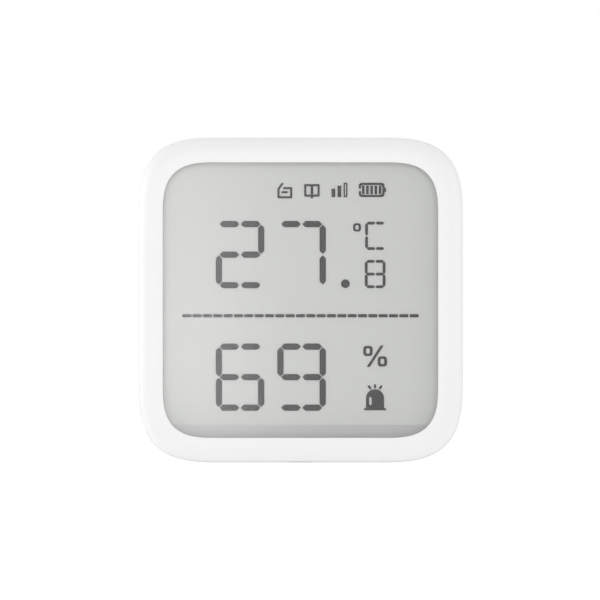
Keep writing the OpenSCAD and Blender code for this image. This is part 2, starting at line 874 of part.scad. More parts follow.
// Two full bars and a tall empty one
module signal_icon() {
    bar_w = 0.76 * icon_unit;
    bar_step = 1.205 * icon_unit;
    heights = [1.7, 2.29, 2.88] * icon_unit;
    frame = 0.26 * icon_unit;
    for (i = [0:2])
        translate([(i - 1) * bar_step - bar_w / 2, -heights[2] / 2]) difference() {
            square([bar_w, heights[i]]);
            if (i == 2)
                translate([frame, frame]) square([bar_w - 2 * frame, heights[i] - 2 * frame]);
        }
}

// A round box with a knob at its right, a notch at its left and five charge bars
module battery_icon() {
    body = [5.16, 2.86] * icon_unit;
    body_r = 0.6 * icon_unit;
    knob = [0.3, 0.84] * icon_unit;
    notch = 0.48 * icon_unit;
    charge = [0.52, 1.74] * icon_unit;
    charge_step = 0.84 * icon_unit;
    translate([-knob.x / 2, 0]) {
        difference() {
            rounded_ring(body.x, body.y, body_r, icon_stroke, icon_stroke);
            translate([-body.x / 2, 0]) square([2 * icon_stroke, notch], center = true);
        }
        translate([body.x / 2, -knob.y / 2]) square(knob);
        for (i = [-2:2])
            translate([i * charge_step, 0]) square(charge, center = true);
    }
}

module lcd_icons() {
    driven() {
        translate([box_x, icon_y]) open_box_icon();
        translate([book_x, icon_y]) book_icon();
        translate([signal_x, icon_y]) signal_icon();
        translate([battery_x, icon_y]) battery_icon();
        translate([beacon_x, beacon_y]) beacon_icon();
    }
}

// Display frame and zebra strip

module frame_walls() {
    inner = frame_half - frame_wall;
    for (side = [-1, 1])
        block(side * (inner + frame_wall / 2), 0, frame_wall, run_len, polariser_front, floor_back);
    block(0, inner + frame_wall / 2, run_len, frame_wall, polariser_front, floor_back);
}

// A rib behind the bare ledge of the front glass
module ledge_rib() {
    rib_top = rear_glass_bottom - glass_clear;
    rib_bottom = zebra_top + zebra_clear;
    block(0, (rib_top + rib_bottom) / 2, run_len, rib_top - rib_bottom, rear_glass_front, floor_back);
}

module lcd_frame() {
    color("gainsboro") upright() difference() {
        union() {
            slab(floor_front, floor_back) case_outline(frame_half);
            frame_walls();
            ledge_rib();
            for (x = [-screw_at, screw_at], y = [-screw_at, screw_at])
                rod(x, y, post_r, floor_back - frame_floor / 2, board_front);
            for (side = [-1, 1])
                up_bar(side * frame_half, 0, (floor_front + floor_back) / 2, bead_r, bead_len);
        }
        block(0, zebra_top + zebra_clear - skirt_in / 2, run_len + 2 * zebra_clear, skirt_in,
              fluid_front, board_front);
        for (x = [-screw_at, screw_at], y = [-screw_at, screw_at])
            rod(x, y, screw_r + screw_clear, floor_back, board_front + past);
    }
}

module zebra_strip() {
    color("slategray") upright()
        block(0, (zebra_bottom + zebra_top) / 2, run_len, zebra_t, fluid_front, board_front);
}

// Board and what it carries

// Slots milled around the sensor chip, open towards the board's edge
module sensor_slots() {
    island_h = sensor_w + 2 * sensor_margin;
    x = sensor_x + sensor_w / 2 + sensor_slot;
    slab(board_front - past, board_back + past) translate([x, sensor_y]) {
        square([sensor_slot, island_h + 2 * sensor_slot], center = true);
        for (side = [-1, 1])
            translate([-sensor_w / 2, side * (island_h + sensor_slot) / 2])
                square([sensor_w + sensor_slot, sensor_slot], center = true);
    }
}

module main_board() {
    color("seagreen") upright() difference() {
        slab(board_front, board_back) case_outline(board_half);
        for (x = [-screw_at, screw_at], y = [-screw_at, screw_at])
            rod(x, y, screw_r + board_hole_clear, board_front - past, board_back + past);
        sensor_slots();
    }
}

module board_screws() {
    head_top = board_back + screw_head_h;
    color("silver") upright()
        for (x = [-screw_at, screw_at], y = [-screw_at, screw_at])
            difference() {
                union() {
                    rod(x, y, screw_r, board_back - screw_len, board_back + screw_head_h / 2);
                    rod(x, y, screw_head_r, board_back, head_top);
                }
                block(x, y, slot_len, slot_w, head_top - slot_depth, head_top + past);
                block(x, y, slot_w, slot_len, head_top - slot_depth, head_top + past);
            }
}

module radio_shield() {
    color("silver") upright() difference() {
        block(0, shield_y, shield_w, shield_h, board_back, board_back + shield_depth);
        block(0, shield_y, shield_w - 2 * shield_sheet, shield_h - 2 * shield_sheet,
              board_back - past, board_back + shield_depth - shield_sheet);
    }
}

module radio_chip() {
    color("black") upright()
        block(0, shield_y, shield_h / 2, shield_h / 2, board_back, board_back + shield_depth / 2);
}

module controller_chip() {
    color("black") upright()
        block(controller_x, shield_y, controller_w, controller_w, board_back, board_back + controller_h);
}

module crystal() {
    color("silver") upright()
        block(crystal_x, shield_y, crystal_w, crystal_len, board_back, board_back + crystal_h);
}

module sensor_chip() {
    color("black") upright() difference() {
        block(sensor_x, sensor_y, sensor_w, sensor_w, board_back, board_back + sensor_h);
        rod(sensor_x, sensor_y, sensor_w / 4, board_back + sensor_h / 2, board_back + sensor_h + past);
    }
}

module bulk_capacitor() {
    color("darkslategray") upright() rod(can_x, can_y, can_r, board_back, board_back + can_h);
}

// Rows of small parts on both sides of the radio's shield
module chip_row(x, height, count) {
    for (i = [0:count - 1]) {
        y = shield_y + (i - (count - 1) / 2) * chip_pitch;
        block(x, y, chip_len, chip_w, board_back, board_back + height);
    }
}

module chip_capacitors() {
    color("tan") upright() chip_row(chip_x, chip_capacitor_h, capacitor_count);
}

module chip_resistors() {
    color("black") upright() chip_row(-chip_x, chip_resistor_h, resistor_count);
}

// A wire through points, each with the angle of its ring about the coil's axis
module wire(points, angles, r) {
    last = len(points) - 1;
    skin = [
        for (i = [0:last], k = [0:wire_sides - 1])
            let (turn = 360 * k / wire_sides)
            points[i] + r * [sin(turn), cos(turn) * cos(angles[i]), cos(turn) * sin(angles[i])]
    ];
    sides = [
        for (i = [0:last - 1], k = [0:wire_sides - 1])
            let (a = i * wire_sides + k, b = i * wire_sides + (k + 1) % wire_sides)
            each [[a, b + wire_sides, b], [a, a + wire_sides, b + wire_sides]]
    ];
    first_cap = [[for (k = [0:wire_sides - 1]) k]];
    last_cap = [[for (k = [wire_sides - 1:-1:0]) last * wire_sides + k]];
    polyhedron(skin, concat(first_cap, sides, last_cap));
}

// Least room between turns, from points at least half a turn apart
function least_gap(points, r) = min([
    for (i = [0:len(points) - 1], j = [i + wire_rings / 2:1:len(points) - 1])
        norm(points[i] - points[j]) - 2 * r
]);

// The coil climbs along x. Its first leg rises from the board and its last one returns there.
module antenna_coil() {
    steps = (coil_turns + 0.5) * wire_rings;
    start_x = -(coil_turns + 0.5) * coil_pitch / 2;
    centre_z = case_t / 2 - coil_depth;
    foot_z = case_t / 2 - board_back;
    turn_angles = [for (i = [0:steps]) -360 * i / wire_rings];
    turns = [
        for (i = [0:steps])
            [start_x + coil_pitch * i / wire_rings, coil_y + coil_r * cos(turn_angles[i]),
             centre_z + coil_r * sin(turn_angles[i])]
    ];
    first_foot = [start_x, coil_y + coil_r, foot_z];
    last_foot = [-start_x, coil_y - coil_r, foot_z];
    echo(antenna_gap = least_gap(turns, coil_wire_r));
    color("peru") upright()
        wire([first_foot, each turns, last_foot], [0, each turn_angles, turn_angles[steps]], coil_wire_r);
}

// Switches

module switch_body(x, bore_r) {
    color("dimgray") upright() difference() {
        block(x, switch_y, switch_w, switch_w, board_back, board_back + switch_h);
        rod(x, switch_y, bore_r, board_back + switch_h - switch_bore, board_back + switch_h + past);
    }
}

// A round push piece with its inner end drawn back from the bore's floor
module push_piece(x, r, room, height) {
    color("firebrick") upright()
        rod(x, switch_y, r, board_back + switch_h - switch_bore + room, board_back + switch_h + height);
}

module tamper_switch() {
    switch_body(0, plunger_r + switch_clear);
}

module tamper_plunger() {
    push_piece(0, plunger_r, switch_clear, plunger_h);
}

module pairing_switch() {
    switch_body(pairing_x, button_r + switch_clear);
}

module pairing_button() {
    push_piece(pairing_x, button_r, button_travel + switch_clear, button_h);
}

// Battery

// The upper cell has its button to the right, and the lower one to the left
module each_cell() {
    for (side = [-1, 1])
        translate([0, holder_y + side * cell_pitch / 2, case_t / 2 - cell_depth])
            rotate(side > 0 ? 0 : 180) children();
}

module battery_holder() {
    wall_back = cell_depth + cell_r / 2;
    color("black") upright() difference() {
        block(0, holder_y, holder_len, holder_h, board_back, wall_back);
        difference() {
            block(0, holder_y, holder_inside, holder_h - 2 * holder_wall, holder_top, wall_back + past);
            block(0, holder_y, holder_inside, cell_rib, holder_top - past, cell_depth);
        }
    }
}

module battery_cells() {
    color("darkgoldenrod") upright() each_cell() rotate([0, 90, 0]) {
        translate([0, 0, cell_flat_end]) cylinder(r = cell_r, h = cell_len - cell_button_h);
        translate([0, 0, cell_flat_end + cell_len / 2]) cylinder(r = cell_button_r, h = cell_len / 2);
    }
}

// A square contact with its left face at x, from the holder's middle
module contact_plate(x) {
    translate([x, -contact_w / 2, -contact_w / 2]) cube([contact_t, contact_w, contact_w]);
}

module battery_plates() {
    color("silver") upright() each_cell() contact_plate(cell_button_end);
}

module battery_springs() {
    steps = spring_turns * wire_rings;
    seat = spring_wire_r * cos(180 / wire_sides);
    base_x = -inside_half + contact_t + seat - spring_weld;
    tip_x = cell_flat_end - seat - cell_clear;
    angles = [for (i = [0:steps]) -360 * i / wire_rings];
    turns = [
        for (i = [0:steps])
            let (share = i / steps)
            let (r = spring_base_r + (spring_tip_r - spring_base_r) * share)
            [base_x + (tip_x - base_x) * share, r * cos(angles[i]), r * sin(angles[i])]
    ];
    echo(spring_gap = least_gap(turns, spring_wire_r));
    color("silver") upright() each_cell() {
        contact_plate(-inside_half);
        wire(turns, angles, spring_wire_r);
    }
}

// The strip that joins the spring of the upper cell to the plate of the lower cell
module bridge_strip() {
    gap = cell_pitch - contact_w;
    color("silver") upright()
        translate([-inside_half, holder_y - gap / 2, case_t / 2 - cell_depth - contact_w / 2])
            cube([contact_t, gap, contact_w / 4]);
}

front_cover();
window_lens();
lens_tape();
lcd_polariser();
lcd_front_glass();
lcd_seal();
lcd_temperature_digits();
lcd_small_signs();
lcd_humidity_digits();
lcd_divider();
lcd_icons();
lcd_rear_glass();
lcd_reflector();
lcd_frame();
zebra_strip();
main_board();
radio_shield();
radio_chip();
controller_chip();
crystal();
sensor_chip();
antenna_coil();
bulk_capacitor();
chip_capacitors();
chip_resistors();
tamper_switch();
tamper_plunger();
pairing_switch();
pairing_button();
battery_holder();
battery_cells();
battery_springs();
battery_plates();
bridge_strip();
board_screws();
rear_housing();
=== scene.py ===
# %% [markdown]
# # A square sensor for temperature and humidity
# The object is a white plastic case, about as large as a drink coaster, with a grey segment display behind a
# clear window. It opens like a door: the face swings on two pins at the top.
# The measured solids come in first as a frame. Each one keeps its name, its place and its moving body. What
# follows dresses them: a few solids only get a finish, and the others give way to a finer piece.

import math

import bmesh
import bpy
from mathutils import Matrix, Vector


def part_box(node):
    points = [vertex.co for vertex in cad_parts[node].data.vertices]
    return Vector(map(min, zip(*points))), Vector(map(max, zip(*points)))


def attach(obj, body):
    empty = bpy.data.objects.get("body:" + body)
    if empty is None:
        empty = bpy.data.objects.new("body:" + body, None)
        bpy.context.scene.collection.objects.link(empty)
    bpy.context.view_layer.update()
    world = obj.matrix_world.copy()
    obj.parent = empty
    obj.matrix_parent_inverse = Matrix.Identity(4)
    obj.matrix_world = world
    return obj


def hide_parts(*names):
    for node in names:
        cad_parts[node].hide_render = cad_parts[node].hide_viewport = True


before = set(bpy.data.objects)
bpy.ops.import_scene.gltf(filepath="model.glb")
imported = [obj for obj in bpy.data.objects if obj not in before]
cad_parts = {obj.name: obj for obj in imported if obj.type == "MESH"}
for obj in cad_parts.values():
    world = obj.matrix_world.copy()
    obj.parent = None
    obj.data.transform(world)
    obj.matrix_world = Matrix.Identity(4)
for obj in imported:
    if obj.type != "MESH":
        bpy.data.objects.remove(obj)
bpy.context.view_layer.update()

# %% [markdown]
# ## Places on the face
# It is easier to think of the object as you look at it: so many millimetres to the right of its middle, so
# many up, and so many back from its front plane. One small function turns those three numbers into a point
# of the scene, which is in metres and stands on its floor. The sizes come from the solids themselves.

# %% Places
MM = 0.001
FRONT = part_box("front_cover")[0].y
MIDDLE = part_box("rear_housing")[1].z / 2


def corners(node):
    """Lowest and highest corner of a solid in millimetres on the face: right, up and back."""
    return [(p.x / MM, (p.z - MIDDLE) / MM, (p.y - FRONT) / MM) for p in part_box(node)]


def middle_of(node):
    """Middle of a solid, in the same terms."""
    return [(low + high) / 2 for low, high in zip(*corners(node))]


def at(right, up, back):
    """A point of the scene from millimetres on the face."""
    return Vector((right * MM, FRONT + back * MM, MIDDLE + up * MM))


COVER_HALF = corners("front_cover")[1][0]
CASE_HALF = corners("rear_housing")[1][0]
RIM, CASE_BACK = [corner[2] for corner in corners("rear_housing")]
print(f"case {2 * CASE_HALF:.1f} mm wide and {CASE_BACK:.1f} mm deep")

# %% [markdown]
# ## Camera
# The photograph looks straight at the face, and neither the top nor the sides show, so it was taken from far
# away. A long lens at three metres gives the same flat view. The lens follows from one measured fact: the
# case is 325.2 pixels wide in a frame of 600. Its middle lies half a pixel to the right of the frame's
# middle and a tenth of a pixel below it.

# %% Camera
FRAME_PIXELS = 600
CASE_PIXELS = 325.2
OFF_CENTRE = (0.5, -0.1)
DISTANCE = 3.0
pixel = 2 * CASE_HALF * MM / CASE_PIXELS
lens = bpy.data.cameras.new("camera")
lens.sensor_width = 36
lens.lens = lens.sensor_width * (DISTANCE + RIM * MM) / (FRAME_PIXELS * pixel)
camera = bpy.data.objects.new("camera", lens)
camera.location = at(0, 0, 0) + Vector((-OFF_CENTRE[0] * pixel, -DISTANCE, -OFF_CENTRE[1] * pixel))
camera.rotation_euler = (math.radians(90), 0, 0)
bpy.context.scene.collection.objects.link(camera)
bpy.context.scene.camera = camera
bpy.context.scene.view_settings.view_transform = "Standard"
print(f"lens {lens.lens:.0f} mm at {DISTANCE} m")

# %% [markdown]
# ## Small helpers for nodes
# Materials and Geometry Nodes are both made of nodes, so one function that adds a node, sets it up and links
# its inputs serves for everything below. Colours are written as on the web, in sRGB, while shaders count in
# linear light, so a second function translates them. The Mix node has sockets for several types of value at
# once, and its colours sit at the three places that are named here.

# %% Nodes and colours
COLOUR_A, COLOUR_B, COLOUR_OUT = 6, 7, 2


def linear(code):
    """A colour written as six hex digits, in linear light with full alpha."""
    shares = [int(code[i : i + 2], 16) / 255 for i in (0, 2, 4)]
    return [s / 12.92 if s <= 0.04045 else ((s + 0.055) / 1.055) ** 2.4 for s in shares] + [1.0]


def add(tree, kind, inputs=(), **settings):
    """Adds a node with its settings, and fills or links its inputs. A node stands for its first output."""
    made = tree.nodes.new(kind)
    for name, value in settings.items():
        setattr(made, name, value)
    for key, value in dict(inputs).items():
        if isinstance(value, bpy.types.Node):
            value = value.outputs[0]
        if isinstance(value, bpy.types.NodeSocket):
            tree.links.new(value, made.inputs[key])
        else:
            made.inputs[key].default_value = value
    return made


def new_material(name):
    """An empty material, its node tree, and the coordinates of the piece that wears it."""
    made = bpy.data.materials.new(name)
    made.use_nodes = True
    made.node_tree.nodes.clear()
    place = add(made.node_tree, "ShaderNodeTexCoord").outputs["Object"]
    return made, made.node_tree, place


print("white is", [round(c, 3) for c in linear("FFFFFF")])

# %% [markdown]
# ## Floor and background
# The photograph's background is pure white. Lighting a floor until it turns white would also burn out the
# white case, so the floor and the world are white only for rays that come from the camera, a gloss or a
# glass. All other rays meet a plain pale floor. The floor keeps a share of real shading even for the
# camera, and so keeps the object's soft shadow.

# %% World
AMBIENT = 0.48
WHITE = linear("FFFFFF")


def level_of(tree, falling, seen):
    """One level for the light that falls on the object, another for what camera, gloss and glass see."""
    path = add(tree, "ShaderNodeLightPath").outputs
    ray = path["Is Camera Ray"]
    for kind in ("Is Glossy Ray", "Is Transmission Ray"):
        ray = add(tree, "ShaderNodeMath", {0: ray, 1: path[kind]}, operation="MAXIMUM")
    return add(tree, "ShaderNodeMapRange", {"Value": ray, "To Min": falling, "To Max": seen})


world = bpy.data.worlds.new("white_room")
bpy.context.scene.world = world
world.use_nodes = True
tree = world.node_tree
tree.nodes.clear()
glow = add(tree, "ShaderNodeBackground", {"Color": WHITE, "Strength": level_of(tree, AMBIENT, 1.0)})
add(tree, "ShaderNodeOutputWorld", {"Surface": glow})
print("ambient light", AMBIENT)

# %% Floor
FLOOR_HALF = 4.0
FLOOR_GLOW = {"falling": 0.58, "seen": 0.86}
pale_floor, tree, place = new_material("pale_floor")
lit = add(tree, "ShaderNodeEmission", {"Color": WHITE, "Strength": level_of(tree, **FLOOR_GLOW)})
matt = add(tree, "ShaderNodeBsdfDiffuse", {"Color": linear("A0A0A0")})
both = add(tree, "ShaderNodeAddShader", {0: matt, 1: lit})
add(tree, "ShaderNodeOutputMaterial", {"Surface": both})

square = [(x * FLOOR_HALF, y * FLOOR_HALF, 0) for x, y in ((-1, -1), (1, -1), (1, 1), (-1, 1))]
sheet = bpy.data.meshes.new("floor")
sheet.from_pydata(square, [], [(0, 1, 2, 3)])
sheet.materials.append(pale_floor)
floor = bpy.data.objects.new("floor", sheet)
bpy.context.scene.collection.objects.link(floor)
print("floor", 2 * FLOOR_HALF, "m wide")

# %% [markdown]
# ## Lamps
# The even light of the room does most of the work, and soft panels add what the photograph shows. A large
# one in front fills the face. It is hidden from gloss, or the window would mirror it as a grey square. Weak
# panels at the sides, above and behind shade the edges, and the left edge comes out brightest.
# The display brightens towards the left, because the window softly mirrors a panel that stands there. That
# panel only shows in mirrors and lights nothing else. In the mirror the floor hides its foot, so a bright
# narrow strip just above the floor makes up for the part that is lost.


# %% Lamps
def panel(name, place, size, power, unseen_by=()):
    """A soft rectangular lamp that faces the middle of the object, unseen by the camera and other rays."""
    lamp = bpy.data.lights.new(name, "AREA")
    lamp.shape = "RECTANGLE"
    lamp.size, lamp.size_y = size
    lamp.energy = power
    made = bpy.data.objects.new(name, lamp)
    made.location = place
    made.rotation_euler = (at(0, 0, 0) - Vector(place)).to_track_quat("-Z", "Z").to_euler()
    for ray in ("camera", *unseen_by):
        setattr(made, f"visible_{ray}", False)
    bpy.context.scene.collection.objects.link(made)


panel("front_panel", (0.0, -1.2, MIDDLE), (0.9, 0.9), 7.4, unseen_by=["glossy"])
panel("left_panel", (-0.50, 0.00, 0.06), (0.40, 0.50), 1.35)
panel("right_panel", (0.50, -0.10, 0.06), (0.40, 0.50), 0.66)
panel("top_panel", (0.0, 0.05, 0.60), (0.50, 0.40), 0.58)
panel("back_panel", (0.0, 1.2, 0.20), (0.9, 0.9), 2.8)
panel("sheen_panel", (-0.072, -0.32, MIDDLE), (0.11, 0.18), 0.200, unseen_by=["diffuse"])
panel("sheen_foot", (-0.072, -0.318, 0.0075), (0.11, 0.015), 0.010, unseen_by=["diffuse"])

# %% [markdown]
# ## White ABS
# The case is injection-moulded ABS, a tough white plastic. The steel mould was spark-eroded to a fine grain,
# so the skin is smooth to the eye and only a little glossy. The grain here is a noise of a quarter of a
# millimetre that moves the normals by a hair, and a slow cloud shifts the tone and the gloss, as the flow
# in a mould does. Every other moulded or printed plastic below is made by the same function.

# %% Moulded plastics
FLOW_MM = 14
GRAIN_HIGH_MM = 0.004


def moulded(name, light, dark, gloss, grain_mm, ior):
    """A moulded plastic: two close tones, a range of gloss, and a fine grain of so many millimetres."""
    made, tree, place = new_material(name)
    grain = add(tree, "ShaderNodeTexNoise", {"Vector": place, "Scale": 1 / (grain_mm * MM), "Detail": 3.0})
    relief = {"Height": grain, "Strength": 0.15, "Distance": GRAIN_HIGH_MM * MM}
    bump = add(tree, "ShaderNodeBump", relief)
    flow = add(tree, "ShaderNodeTexNoise", {"Vector": place, "Scale": 1 / (FLOW_MM * MM), "Detail": 2.0})
    tones = {0: flow, COLOUR_A: linear(light), COLOUR_B: linear(dark)}
    tone = add(tree, "ShaderNodeMix", tones, data_type="RGBA").outputs[COLOUR_OUT]
    rough = add(tree, "ShaderNodeMapRange", {"Value": flow, "To Min": gloss[0], "To Max": gloss[1]})
    look = {"Base Color": tone, "Roughness": rough, "Normal": bump, "IOR": ior}
    skin = add(tree, "ShaderNodeBsdfPrincipled", look)
    add(tree, "ShaderNodeOutputMaterial", {"Surface": skin})
    return made


white_abs = moulded("moulded_white_abs", "F4F4F3", "F1F2F1", (0.40, 0.50), 0.25, 1.54)
print("made", white_abs.name)

# %% [markdown]
# ## One rule for the whole case
# Seen from the front, every outline of the case is a square whose corners follow a superellipse, a curve
# between a circle and a square corner. It could be modelled by hand with a subdivision cage, but a rule is
# exact and easy to change. So a Geometry Nodes tree lofts it: the object's own points are a section of the
# wall, each with its half size, its corner and its depth, and the tree carries that section once around the
# square. All trees here start and end alike, so two small functions open and close them.


# %% Trees
def new_tree(name, inputs, output):
    """A Geometry Nodes tree with named inputs and one output, and the sockets of its inputs."""
    tree = bpy.data.node_groups.new(name, "GeometryNodeTree")
    for title, kind in inputs.items():
        tree.interface.new_socket(title, in_out="INPUT", socket_type=f"NodeSocket{kind}")
    tree.interface.new_socket(output, in_out="OUTPUT", socket_type="NodeSocketGeometry")
    return tree, add(tree, "NodeGroupInput").outputs


def end_tree(tree, shape, finish):
    """Ends a tree with plain geometry that wears its finish."""
    shape = add(tree, "GeometryNodeRealizeInstances", {0: shape})
    shape = add(tree, "GeometryNodeSetMaterial", {"Geometry": shape, "Material": finish})
    add(tree, "NodeGroupOutput", {0: shape})
    print("tree", tree.name, "with", len(tree.nodes), "nodes")
    return tree


# %% The outline loft
def outline_loft():
    """A tree that carries a wall section around a square with superellipse corners."""
    inputs = {"Section": "Geometry", "Corner Steps": "Int", "Corner Power": "Float", "Finish": "Material"}
    tree, given = new_tree("outline_loft", inputs, "Shell")
    size = add(tree, "GeometryNodeAttributeDomainSize", {"Geometry": given["Section"]}).outputs["Point Count"]
    around = add(tree, "ShaderNodeMath", {0: given["Corner Steps"], 1: 4.0}, operation="MULTIPLY")
    columns = add(tree, "ShaderNodeMath", {0: around, 1: 1.0}, operation="ADD")
    grid = add(tree, "GeometryNodeMeshGrid", {"Vertices X": columns, "Vertices Y": size})
    index = add(tree, "GeometryNodeInputIndex")
    row = add(tree, "ShaderNodeMath", {0: index, 1: size}, operation="MODULO")
    column = add(tree, "ShaderNodeMath", {0: index, 1: size}, operation="DIVIDE")
    column = add(tree, "ShaderNodeMath", {0: column}, operation="FLOOR")
    column = add(tree, "ShaderNodeMath", {0: column, 1: 0.5}, operation="ADD")
    share = add(tree, "ShaderNodeMath", {0: column, 1: around}, operation="DIVIDE")
    angle = add(tree, "ShaderNodeMath", {0: share, 1: math.tau}, operation="MULTIPLY")
    point = add(tree, "GeometryNodeInputPosition")
    wanted = {"Geometry": given["Section"], "Value": point, "Index": row}
    section = add(tree, "GeometryNodeSampleIndex", wanted, data_type="FLOAT_VECTOR", domain="POINT")
    half, corner, depth = add(tree, "ShaderNodeSeparateXYZ", {0: section.outputs["Value"]}).outputs
    straight = add(tree, "ShaderNodeMath", {0: half, 1: corner}, operation="SUBTRACT")
    bend = add(tree, "ShaderNodeMath", {0: 2.0, 1: given["Corner Power"]}, operation="DIVIDE")
    reached = []
    for wave in ("COSINE", "SINE"):
        turn = add(tree, "ShaderNodeMath", {0: angle}, operation=wave)
        side = add(tree, "ShaderNodeMath", {0: turn}, operation="SIGN")
        part = add(tree, "ShaderNodeMath", {0: turn}, operation="ABSOLUTE")
        part = add(tree, "ShaderNodeMath", {0: part, 1: bend}, operation="POWER")
        part = add(tree, "ShaderNodeMath", {0: part, 1: corner, 2: straight}, operation="MULTIPLY_ADD")
        reached.append(add(tree, "ShaderNodeMath", {0: part, 1: side}, operation="MULTIPLY"))
    spot = add(tree, "ShaderNodeCombineXYZ", {"X": reached[0], "Y": depth, "Z": reached[1]})
    shell = add(tree, "GeometryNodeSetPosition", {"Geometry": grid, "Position": spot})
    shell = add(tree, "GeometryNodeMergeByDistance", {"Geometry": shell, "Distance": 0.002 * MM})
    return end_tree(tree, shell, given["Finish"])


LOFT = outline_loft()

# %% [markdown]
# ## From a tree to a plain piece
# A modifier stays live, and an export would drop its instances, so each made piece is turned into a plain
# mesh at once. A mesh that a tree made can have its faces the wrong way round, so they are turned outwards.

# %% Plain meshes
EMPTY_MM = 0.001


def new_piece(name, mesh):
    """An object at the origin that holds a mesh."""
    made = bpy.data.objects.new(name, mesh)
    bpy.context.scene.collection.objects.link(made)
    return made


def settle(piece):
    """Turns a piece and its modifiers into one plain mesh."""
    graph = bpy.context.evaluated_depsgraph_get()
    mesh = bpy.data.meshes.new_from_object(piece.evaluated_get(graph), depsgraph=graph)
    piece.modifiers.clear()
    piece.data = mesh
    mesh.name = piece.name
    return piece


def grown(name, tree, inputs, points, edges=(), turns=()):
    """A piece that a tree makes from points, and from edges between them or a turn at each."""
    mesh = bpy.data.meshes.new(name)
    mesh.from_pydata(points, edges, [])
    if turns:
        mesh.attributes.new("turn", "FLOAT", "POINT").data.foreach_set("value", turns)
    piece = new_piece(name, mesh)
    maker = piece.modifiers.new(tree.name, "NODES")
    maker.node_group = tree
    for item in tree.interface.items_tree:
        if item.in_out == "INPUT" and item.name in inputs:
            maker[item.identifier] = inputs[item.name]
    return settle(piece)


def outwards(piece, shift=(0, 0, 0)):
    """Drops a made mesh's empty faces, turns the others outwards, and shifts the mesh to its place."""
    shape = bmesh.new()
    shape.from_mesh(piece.data)
    bmesh.ops.dissolve_degenerate(shape, dist=EMPTY_MM * MM, edges=shape.edges)
    bmesh.ops.recalc_face_normals(shape, faces=shape.faces)
    bmesh.ops.translate(shape, verts=shape.verts, vec=shift)
    shape.to_mesh(piece.data)
    shape.free()
    return piece


def from_shape(name, shape, *materials):
    """A piece from a bmesh, with its faces turned outwards."""
    bmesh.ops.recalc_face_normals(shape, faces=shape.faces)
    mesh = bpy.data.meshes.new(name)
    shape.to_mesh(mesh)
    shape.free()
    for material in materials:
        mesh.materials.append(material)
    return new_piece(name, mesh)


print("plain meshes ready")

# %% [markdown]
# ## Crisp edges, and a body to ride on
# Weighted normals keep large faces flat beside narrow rounded edges, which is what makes a moulded part look
# crisp. A bevel rounds the edges where a solid has sharp ones. A finished piece then rides on the body of
# the object that it moves with, and hides the plain solids that it stands for.

# %% Edges and bodies
SHARP_DEGREES = 38


def ease(piece, round_mm=0.0):
    """Rounds a piece's edges, if asked, and shades it smooth up to a sharp corner."""
    piece.data.shade_smooth()
    piece.data.set_sharp_from_angle(angle=math.radians(SHARP_DEGREES))
    if round_mm:
        edge = piece.modifiers.new("edge", "BEVEL")
        edge.width = round_mm * MM
        edge.segments = 2
        edge.limit_method = "ANGLE"
        edge.angle_limit = math.radians(SHARP_DEGREES)
    weight = piece.modifiers.new("weight", "WEIGHTED_NORMAL")
    weight.keep_sharp = not round_mm
    return settle(piece)


def dress(piece, body, slot, *nodes):
    """Lets a finished piece ride on its body and stand for its solids."""
    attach(piece, body)
    if nodes:
        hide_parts(*nodes)
    print(piece.name, "rides on", body, "with", len(piece.data.polygons), "faces")


print("a corner past", SHARP_DEGREES, "degrees stays sharp")

# %% [markdown]
# ## Wall sections
# A section is a short list of points, and its rounded edges are arcs. All outlines of the case share one set
# of corner centres, so an outline that lies further in simply has a smaller corner. The window has its own
# corner.

# %% Wall sections
CASE_CORNER = 16.7
WINDOW_HALF = 27.5
WINDOW_CORNER = 10.9
CORNER_STEPS = 24
CORNER_POWER = 3.05


def case_point(half, depth):
    """A point of a section on an outline of the case."""
    return (half, CASE_CORNER - (CASE_HALF - half), depth)


def window_point(half, depth):
    """A point of a section on an outline of the window."""
    return (half, WINDOW_CORNER - (WINDOW_HALF - half), depth)


def arc(kind, middle, reach, start, end, steps):
    """Points of a rounded edge, by its centre, its two radii and its angles in degrees."""
    made = []
    for i in range(steps + 1):
        angle = math.radians(start + (end - start) * i / steps)
        made.append(kind(middle[0] + reach[0] * math.cos(angle), middle[1] + reach[1] * math.sin(angle)))
    return made


def loft(name, section, material):
    """A shell from a wall section, given as half size, corner and depth in millimetres."""
    inputs = {"Corner Steps": CORNER_STEPS, "Corner Power": CORNER_POWER, "Finish": material}
    piece = grown(name, LOFT, inputs, [Vector(p) * MM for p in section])
    print(name, "has a section of", len(section), "points")
    return outwards(piece, at(0, 0, 0))


print("a case corner of", CASE_CORNER, "mm, a window corner of", WINDOW_CORNER, "mm")

# %% [markdown]
# ## Front cover
# The bezel is flat beside the window and rolls away in a wide soft edge. Behind it a thin skirt reaches into
# the housing. The section goes once around that wall, from the window's lip over the roll to the skirt and
# back.

# %% Front cover
FACE_WALL = 1.3
COVER_DEPTH = 3.3
ROLL = (3.3, 2.1)
SKIRT = (29.6, 30.4)
SKIRT_END = corners("front_cover")[1][2]
LIP = 0.1
EDGE = 0.12
cover_section = [
    window_point(WINDOW_HALF, FACE_WALL),
    *arc(window_point, (WINDOW_HALF + LIP, LIP), (LIP, LIP), 180, 270, 4),
    *arc(case_point, (COVER_HALF - ROLL[0], ROLL[1]), ROLL, -90, 0, 16),
    *arc(case_point, (COVER_HALF - EDGE, COVER_DEPTH - EDGE), (EDGE, EDGE), 0, 90, 3),
    case_point(SKIRT[1], COVER_DEPTH),
    *arc(case_point, (SKIRT[1] - EDGE, SKIRT_END - EDGE), (EDGE, EDGE), 0, 90, 3),
    *arc(case_point, (SKIRT[0] + EDGE, SKIRT_END - EDGE), (EDGE, EDGE), 90, 180, 3),
    case_point(SKIRT[0], FACE_WALL),
    window_point(WINDOW_HALF, FACE_WALL),
]
cover = loft("front_cover_shell", cover_section, white_abs)

